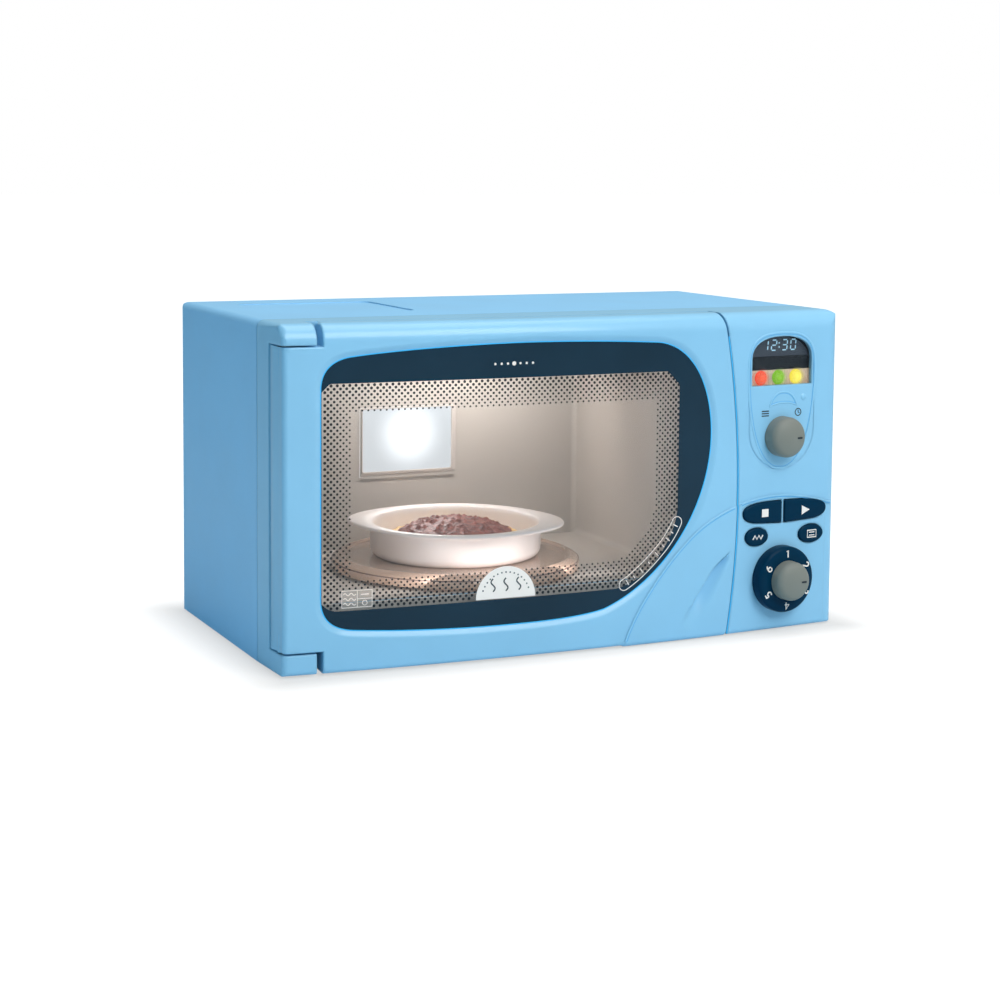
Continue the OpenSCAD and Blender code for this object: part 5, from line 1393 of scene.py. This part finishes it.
@dataclass
class PanelDetails:
    """The display's picture and the moulded lines and small marks of the panel."""

    lights: tuple[float, float, float] = (-11.4, 0.0, 11.4)
    light_z: float = 134.8
    halo_r: float = 6.2
    strip_lift: float = -2.0
    screen_lift: float = -3.66
    digit_x: tuple[float, ...] = (-10.6, -5.0, 2.0, 7.6)
    digit_z: float = 149.3
    digit_w: float = 3.2
    digit_h: float = 5.4
    segment_w: float = 0.62
    segment_gap: float = 0.42
    slant: float = 0.5
    clock: tuple[float, float] = (130.4, 116.0)

    def build(self) -> None:
        """Make the digits, the screen's tones, the halos, the moulded lines and the marks."""
        self.display()
        self.halos()
        self.moulding()

    def display(self) -> None:
        """Seven-segment digits and the two tones of the screen, just behind its lens.

        A segment runs between two corners (p, q) of a digit's box of 1 by 1, which stand at
        x + w p + slant q and z + h q.
        """
        back = at_panel(0, self.screen_lift)
        turn = np.linspace(math.pi, 0, 31)
        zone = np.stack([19.2 * np.cos(turn), 146.2 + 10.4 * np.sin(turn)], -1)
        patch(zone, back, 0.1, 3).piece("display_field", Body.CABINET, SCREEN_GREY)
        ends = {"a": ((0, 1), (1, 1)), "b": ((1, 1), (1, 0.5)), "c": ((1, 0.5), (1, 0)),
                "d": ((0, 0), (1, 0)), "e": ((0, 0.5), (0, 0)), "f": ((0, 1), (0, 0.5)),
                "g": ((0, 0.5), (1, 0.5))}
        parts = []
        for x, lit in zip(self.digit_x, ("bc", "abged", "abgcd", "abcdef")):
            for name in lit:
                a, b = (np.array([x + self.digit_w * p + self.slant * q, self.digit_z + self.digit_h * q])
                        for p, q in ends[name])
                gap = (b - a) / np.linalg.norm(b - a) * self.segment_gap
                parts.append(rule(np.stack([a + gap, b - gap]), self.segment_w, back, h=0.22))
        parts += [patch(circle((0.2, z), 0.42, 10), back, 0.22, 2) for z in (150.9, 153.1)]
        Surface.joined(parts).piece("display_digits", Body.CABINET, DIGIT)

    def halos(self) -> None:
        """The soft glow round the three lights, which fades from each light's middle."""
        for (name, finish), x in zip(HALOS.items(), self.lights):
            spot = panel_place(x, self.light_z, 0.1)
            glow = patch(circle((x, self.light_z), self.halo_r, 40), at_panel(0, self.strip_lift), 0.05, 6)
            glow.piece(f"{name}_glow", Body.CABINET, replace(finish, hot_spot=tuple(spot.tolist())))

    def moulding(self) -> None:
        """The drop-shaped line round the display and the timer, the half moon and the bump."""
        middle = FACE.panel_x
        right = np.concatenate([
            bezier([middle, 158.9], [128, 158.9], [134, 157.8], [138, 153], 14),
            bezier([138, 153], [141.4, 148.6], [141.4, 142], [141.2, 135], 10),
            bezier([141.2, 135], [140.6, 115], [136, 86.5], [middle, 86.4], 26)])
        left = (np.array([2 * middle, 0]) + right * [-1, 1])[::-1]
        drop = np.concatenate([right, left[1:-1]])
        moon = np.concatenate([bezier([111.6, 119.6], [113, 124.4], [116, 127.2], [120.6, 127.2], 12),
                               bezier([120.6, 127.2], [125.4, 127.2], [128.2, 124.2], [129.4, 119.8], 12),
                               bezier([129.4, 119.8], [124, 122.2], [117, 122.2], [111.6, 119.6], 12)])
        # Darker lines just outside the drop and the half moon: painted shade at the foot of their ridges.
        shade = [rule(line - off * path_normals(line, True), width, face_place, True, 0.05)
                 for line, off, width in ((drop, 0.85, 0.34), (moon, 0.65, 0.3))]
        Surface.joined(shade).piece("panel_line_shades", Body.CABINET, BLUE_SHADE)
        bump = [[0, -0.3], [2.4, -0.3], *round_arc((0, -2.6), 3.2, 46, 88, 7), [0, 0.6]]
        dome = turned(bump, lambda u, v, h: face_place(133.8 + u, 123.9 + v, h), 28)
        parts = [ridge(drop, 1.3, 0.3, face_place, True), ridge(moon, 1.0, 0.3, face_place, True), dome]
        Surface.joined(parts).piece("panel_lines", Body.CABINET, BLUE_DOOR, sharp_deg=60)
        x, z = self.clock
        marks = [rule(circle(self.clock, 1.9, 24), 0.5, face_place, True, 0.1),
                 rule([[x, z + 1.2], [x, z - 0.1], [x + 1, z - 0.6]], 0.45, face_place, h=0.1)]
        marks += [rule([[106.6, 116.2 + k * 1.25], [111.2, 116.2 + k * 1.25]], 0.6, face_place, h=0.1)
                  for k in (-1, 0, 1)]
        Surface.joined(marks).piece("panel_marks", Body.CABINET, DARK_PRINT)


@dataclass(frozen=True)
class Mound:
    """The measures of a lumpy mound of food, its heights counted from the dish's foot."""

    node: str
    finish: Finish
    radius: float
    height: float
    edge: float
    lump: float
    lump_w: float
    seed: int


@dataclass
class Meal:
    """The dish with its flat rim and two ears, the pasta, the sauce and the plate's dark edge."""

    plate_r: float = 67.0
    x: float = -33.5
    y: float = 77.777
    foot: float = 37.4
    wall: float = 2.0
    ear: float = 7
    ear_turn: float = -30
    edge_in: float = 0.7
    edge_drop: float = 2.2
    pasta: Mound = Mound("pasta", PASTA, 37.6, 15.2, 11, 1.3, 2.6, 3)
    sauce: Mound = Mound("sauce", SAUCE, 31.4, 20.2, 13.2, 1.5, 2.3, 8)

    def spot(self, u: Array, v: Array, h: Array) -> Array:
        """Points about the middle of the turntable, h above the dish's foot."""
        u, v, h = np.broadcast_arrays(u, v, h)
        return np.stack([self.x + u, self.y + v, self.foot + h], -1)

    def dish(self) -> None:
        """Turn the dish's wall; the rim's radius grows at two ears by 7 |cos|^6."""
        a = np.linspace(0, TURN, 180, endpoint=False)
        ear = self.ear * np.abs(np.cos(a - math.radians(self.ear_turn)))**6
        body = [[0, 0], [30, 0], *round_arc((41.0, 4.8), 4.8, 270, 356, 10), [46.1, 14.6], [46.5, 16.2]]
        rim = [[50.3, 16.6], [51.2, 16.9], [51.45, 17.6], [51.1, 18.3], [50.3, 18.6], [48.5, 18.55]]
        inner = [[45.6, 18.3], [44.7, 17.3], [44.3, 15], *round_arc((40.4, 5.6), 3.6, 0, -88, 10),
                 [30, self.wall], [0, self.wall]]
        profile = np.array(body + rim + inner)
        gain = np.array([0.0] * len(body) + [1.0] * (len(rim) - 1) + [0.55] + [0.0] * len(inner))
        r = profile[:, :1] + gain[:, None] * ear[None] + 0.01
        points = self.spot(r * np.cos(a), r * np.sin(a), np.broadcast_to(profile[:, 1:], r.shape))
        made = Surface.grid(points, cap_first=True, cap_last=True)
        made.piece("dish_moulded", Body.TURNTABLE, DISH, ("dish",), 70)

    def mound(self, food: Mound) -> None:
        """A lumpy mound: a cap whose height is broken by summed bumps of random place.

        Height is edge + (height - edge) (1 - (r / radius)^2), plus for each bump a
        bell exp(-d^2 / bell_r^2), bell_r being half a lump's width, and the outline wanders
        by two slow waves.

        Args:
            food: Its measures.
        """
        rng = np.random.default_rng(food.seed)
        rows, cols = 46, 150
        a = np.linspace(0, TURN, cols, endpoint=False)
        k = np.linspace(0.0, 1, rows)[:, None]
        wander = 0.97 + 0.018 * np.sin(5 * a + food.seed) + 0.014 * np.sin(11 * a + 2 * food.seed)
        r = np.maximum(k, 0.0008) * food.radius * wander
        u, v = r * np.cos(a), r * np.sin(a)
        high = food.edge + (food.height - food.edge) * (1 - k**2) + 0 * u
        count = int(1.1 * (food.radius / food.lump_w)**2)
        way, far = rng.uniform(0, TURN, count), food.radius * np.sqrt(rng.uniform(0, 1, count))
        gain = rng.uniform(0.45, 1, count)
        bell_r = 0.5 * food.lump_w
        bells = sum(g * np.exp(-((u - f * math.cos(w))**2 + (v - f * math.sin(w))**2) / bell_r**2)
                    for w, f, g in zip(way, far, gain))
        high = high - 0.6 * food.lump + food.lump * np.minimum(bells, 1.1) * np.clip((1 - k) * 8, 0.15, 1)
        high = np.minimum(high, food.height)
        high[-1] = food.edge - 1.5
        foot = self.spot(u[-1:], v[-1:], np.full((1, cols), self.wall))
        made = Surface.grid(np.concatenate([self.spot(u, v, high), foot]), cap_first=True, cap_last=True)
        made.piece(f"{food.node}_moulded", Body.TURNTABLE, food.finish, (food.node,), 80)

    def build(self) -> None:
        """Make the dish, the two mounds and the plate's edge."""
        self.dish()
        self.mound(self.pasta)
        ring = circle((0, 0), self.plate_r - self.edge_in, 160)
        edge = rule(ring, 0.5, lambda u, v, h: self.spot(u, v, h - self.edge_drop), True, 0.7)
        edge.piece("turntable_edge", Body.TURNTABLE, SMOKE_EDGE)
        self.mound(self.sauce)


@dataclass(frozen=True)
class Lamp:
    """A soft oblong lamp that looks at a target.

    Places are in metres, or in millimetres of the photograph for a lamp inside the oven. Size
    is its width and height in metres, power is in watts, and cone is its full angle.
    """

    name: str
    spot: Point
    target: Point
    size: tuple[float, float]
    power: float
    colour: tuple[float, float, float] = (1, 1, 1)
    cone: float = math.pi
    inside: bool = False

    def hang(self) -> None:
        """Put the lamp into the scene and aim it."""
        ends = np.array([self.spot, self.target], float)
        spot, target = (Vector(end) for end in (to_frame(ends) if self.inside else ends))
        data = bpy.data.lights.new(self.name, "AREA")
        data.shape = "RECTANGLE"
        data.size, data.size_y = self.size
        data.energy, data.color, data.spread = self.power, self.colour, self.cone
        made = bpy.data.objects.new(self.name, data)
        bpy.context.scene.collection.objects.link(made)
        made.location = spot
        made.rotation_euler = (target - spot).to_track_quat("-Z", "Y").to_euler()


LAMPS = (
    Lamp("key", (0.35, -1.35, 1.3), (0.02, 0, 0.1), (1.0, 1.0), 20.5),
    Lamp("fill", (-2.0, -0.6, 0.9), (0, 0, 0.08), (1.4, 1.4), 4.2, (0.05, 0.62, 1)),
    Lamp("right", (1.6, -1.3, 0.8), (0, 0, 0.08), (1.2, 1.2), 2.0),
    Lamp("top", (0.1, 0.2, 2.0), (0, 0, 0), (1.6, 1.6), 18.5, (1, 0.96, 0.95)),
    Lamp("strip", (0.9, -0.35, 1.8), (0, -0.07, 0.17), (1.3, 0.04), 0.9),
    Lamp("oven_lamp", (-33.5, 143, 93), (-33.5, 50, 80), (0.04, 0.03), 0.05, (1, 0.95, 0.92), inside=True),
    Lamp("oven_front", (-33.5, 22, 39), (-33.5, 60, 50), (0.15, 0.01), 0.019, (1, 0.95, 0.93), inside=True),
    Lamp("oven_back", (-12, 96, 144), (-12, 146, 119), (0.1, 0.008), 0.1, (1, 0.97, 0.94), inside=True),
    Lamp("oven_meal", (-33.5, 36, 142), (-33.5, 90, 50), (0.08, 0.008), 0.0075, (0.84, 0.95, 1),
         math.radians(70), True),
)


@dataclass
class Studio:
    """The floor, the surround and the camera, whose place is in the photograph's millimetres."""

    focal_px: float = 2036.018
    image_px: float = 1000
    sensor_mm: float = 36
    spot: tuple[float, float, float] = (-469.046, -987.955, 249.852)
    yaw: float = 0.4350607
    pitch: float = 0.0882048
    roll: float = 0.0082502
    shift_y: float = -0.16
    floor_half: float = 12.0
    foot_middle: tuple[float, float, float] = (0, 0.007, 0)
    foot_half: tuple[float, float, float] = (0.158, 0.086, 1)
    # Where the floor's glow rises from shade_level to full: a painted shadow round the footprint.
    shade_far: tuple[float, float] = (-0.02, 0.045)
    shade_level: float = 0.45
    floor_lit: Tone = (0.66, 0.8, 0.88, 1)
    floor_seen: Tone = (0.27, 0.255, 0.24, 1)
    sky_lit: Tone = (0.6, 0.88, 1, 1)
    sky_seen: Tone = (1, 1, 1, 1)
    sky_level: float = 0.24
    sky_gloss: float = 0.3

    def camera(self) -> None:
        """Place the camera where the photograph was taken: turned by yaw, pitch and roll."""
        cp, sp, cy, sy = math.cos(self.pitch), math.sin(self.pitch), math.cos(self.yaw), math.sin(self.yaw)
        ahead = Vector((sy * cp, cy * cp, -sp))
        right = Vector((cy, -sy, 0))
        up = right.cross(ahead)
        cr, sr = math.cos(self.roll), math.sin(self.roll)
        across, above = cr * right + sr * up, cr * up - sr * right
        data = bpy.data.cameras.new("camera")
        data.sensor_width = self.sensor_mm
        data.lens = self.sensor_mm * self.focal_px / self.image_px
        data.shift_y = self.shift_y
        data.clip_start, data.clip_end = 0.01, 100
        made = bpy.data.objects.new("camera", data)
        bpy.context.scene.collection.objects.link(made)
        turn = Matrix((across, above, -ahead)).transposed().to_4x4()
        made.matrix_world = Matrix.Translation(Vector(self.spot) * METRE) @ turn
        bpy.context.scene.camera = made

    def floor(self) -> None:
        """A wide pale floor that a camera ray sees white but for a shadow at the oven's foot.

        The glow rises with the distance from the footprint, |max(|p - m| - half, 0)|, so near the foot a
        painted shadow darkens the floor besides the real shadow that its dim base catches.
        """
        w = self.floor_half
        mesh = bpy.data.meshes.new("floor")
        mesh.from_pydata([(-w, -w, 0), (w, -w, 0), (w, w, 0), (-w, w, 0)], [], [(0, 1, 2, 3)])
        made = bpy.data.objects.new("floor", mesh)
        bpy.context.scene.collection.objects.link(made)
        paint = bpy.data.materials.new("floor_paint")
        paint.use_nodes = True
        tree = NodeTree(paint.node_tree)
        seen = tree.add("LightPath").outputs["Is Camera Ray"]
        way = tree.add("TexCoord").outputs["Object"]
        for step, value in (("SUBTRACT", self.foot_middle), ("ABSOLUTE", (0, 0, 0)),
                            ("SUBTRACT", self.foot_half), ("MAXIMUM", (0, 0, 0))):
            way = tree.add("VectorMath", {0: way, 1: value}, operation=step).outputs["Vector"]
        far = tree.add("VectorMath", {0: way}, operation="LENGTH").outputs["Value"]
        # Painted shadow: the glow is dimmed near the footprint.
        near, clear = self.shade_far
        level = tree.add("MapRange", {"Value": far, "From Min": near, "From Max": clear, "To Max": 1.0,
                                      "To Min": self.shade_level}, interpolation_type="SMOOTHSTEP")
        glow = tree.add("Math", {0: seen, 1: level.outputs["Result"]}, operation="MULTIPLY")
        base = tree.add("Mix", {MIX_FACTOR: seen, MIX_FIRST: self.floor_lit, MIX_SECOND: self.floor_seen},
                        data_type="RGBA")
        tree.fill(tree.nodes["Principled BSDF"], {
            "Roughness": 0.9, "Specular IOR Level": 0.1, "Emission Color": (1, 1, 1, 1),
            "Emission Strength": glow.outputs["Value"], "Base Color": base.outputs[MIX_COLOUR]})
        mesh.materials.append(paint)
        made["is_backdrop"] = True

    def world(self) -> None:
        """A white surround for the camera and for gloss, dimmer where it lights the object."""
        world = bpy.data.worlds.new("studio")
        bpy.context.scene.world = world
        world.use_nodes = True
        tree = NodeTree(world.node_tree)
        rays = tree.add("LightPath").outputs
        seen = tree.add("Math", {0: rays["Is Camera Ray"], 1: rays["Is Transmission Ray"]},
                        operation="MAXIMUM").outputs["Value"]
        gloss = tree.add("Math", {0: rays["Is Glossy Ray"], 1: self.sky_gloss},
                         operation="MULTIPLY").outputs["Value"]
        both = tree.add("Math", {0: seen, 1: gloss}, operation="MAXIMUM").outputs["Value"]
        tint = tree.add("Mix", {MIX_FACTOR: seen, MIX_FIRST: self.sky_lit, MIX_SECOND: self.sky_seen},
                        data_type="RGBA")
        level = tree.add("MapRange", {"Value": both, "To Min": self.sky_level, "To Max": 1.0})
        tree.fill(tree.nodes["Background"], {"Color": tint.outputs[MIX_COLOUR],
                                             "Strength": level.outputs["Result"]})

    def build(self) -> None:
        """Set up the whole studio."""
        self.camera()
        self.floor()
        self.world()
        for lamp in LAMPS:
            lamp.hang()
        bpy.context.scene.view_settings.view_transform = "Standard"


def dress_frame() -> None:
    """Give every CAD node its finish."""
    for name, finish in CAD_FINISHES.items():
        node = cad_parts[name]
        node.data.materials.clear()
        node.data.materials.append(finish.material())


def corners() -> list[list[float]]:
    """The box of what is shown, as two corners."""
    return [list(corner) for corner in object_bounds()]


def main() -> None:
    """Build and dress the oven, piece by piece."""
    logging.basicConfig(level=logging.INFO, format="%(name)s: %(message)s")
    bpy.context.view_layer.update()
    dress_frame()
    shell = DoorShell()
    shell.build()
    shell.bosses()
    window = WindowPrint()
    window.band()
    window.dots()
    window.marks()
    for part in (RaisedLine(), OvenLamp(), Knobs(), Buttons(), PanelDetails(), Meal(), Studio()):
        part.build()


if __name__ == "__main__":
    main()
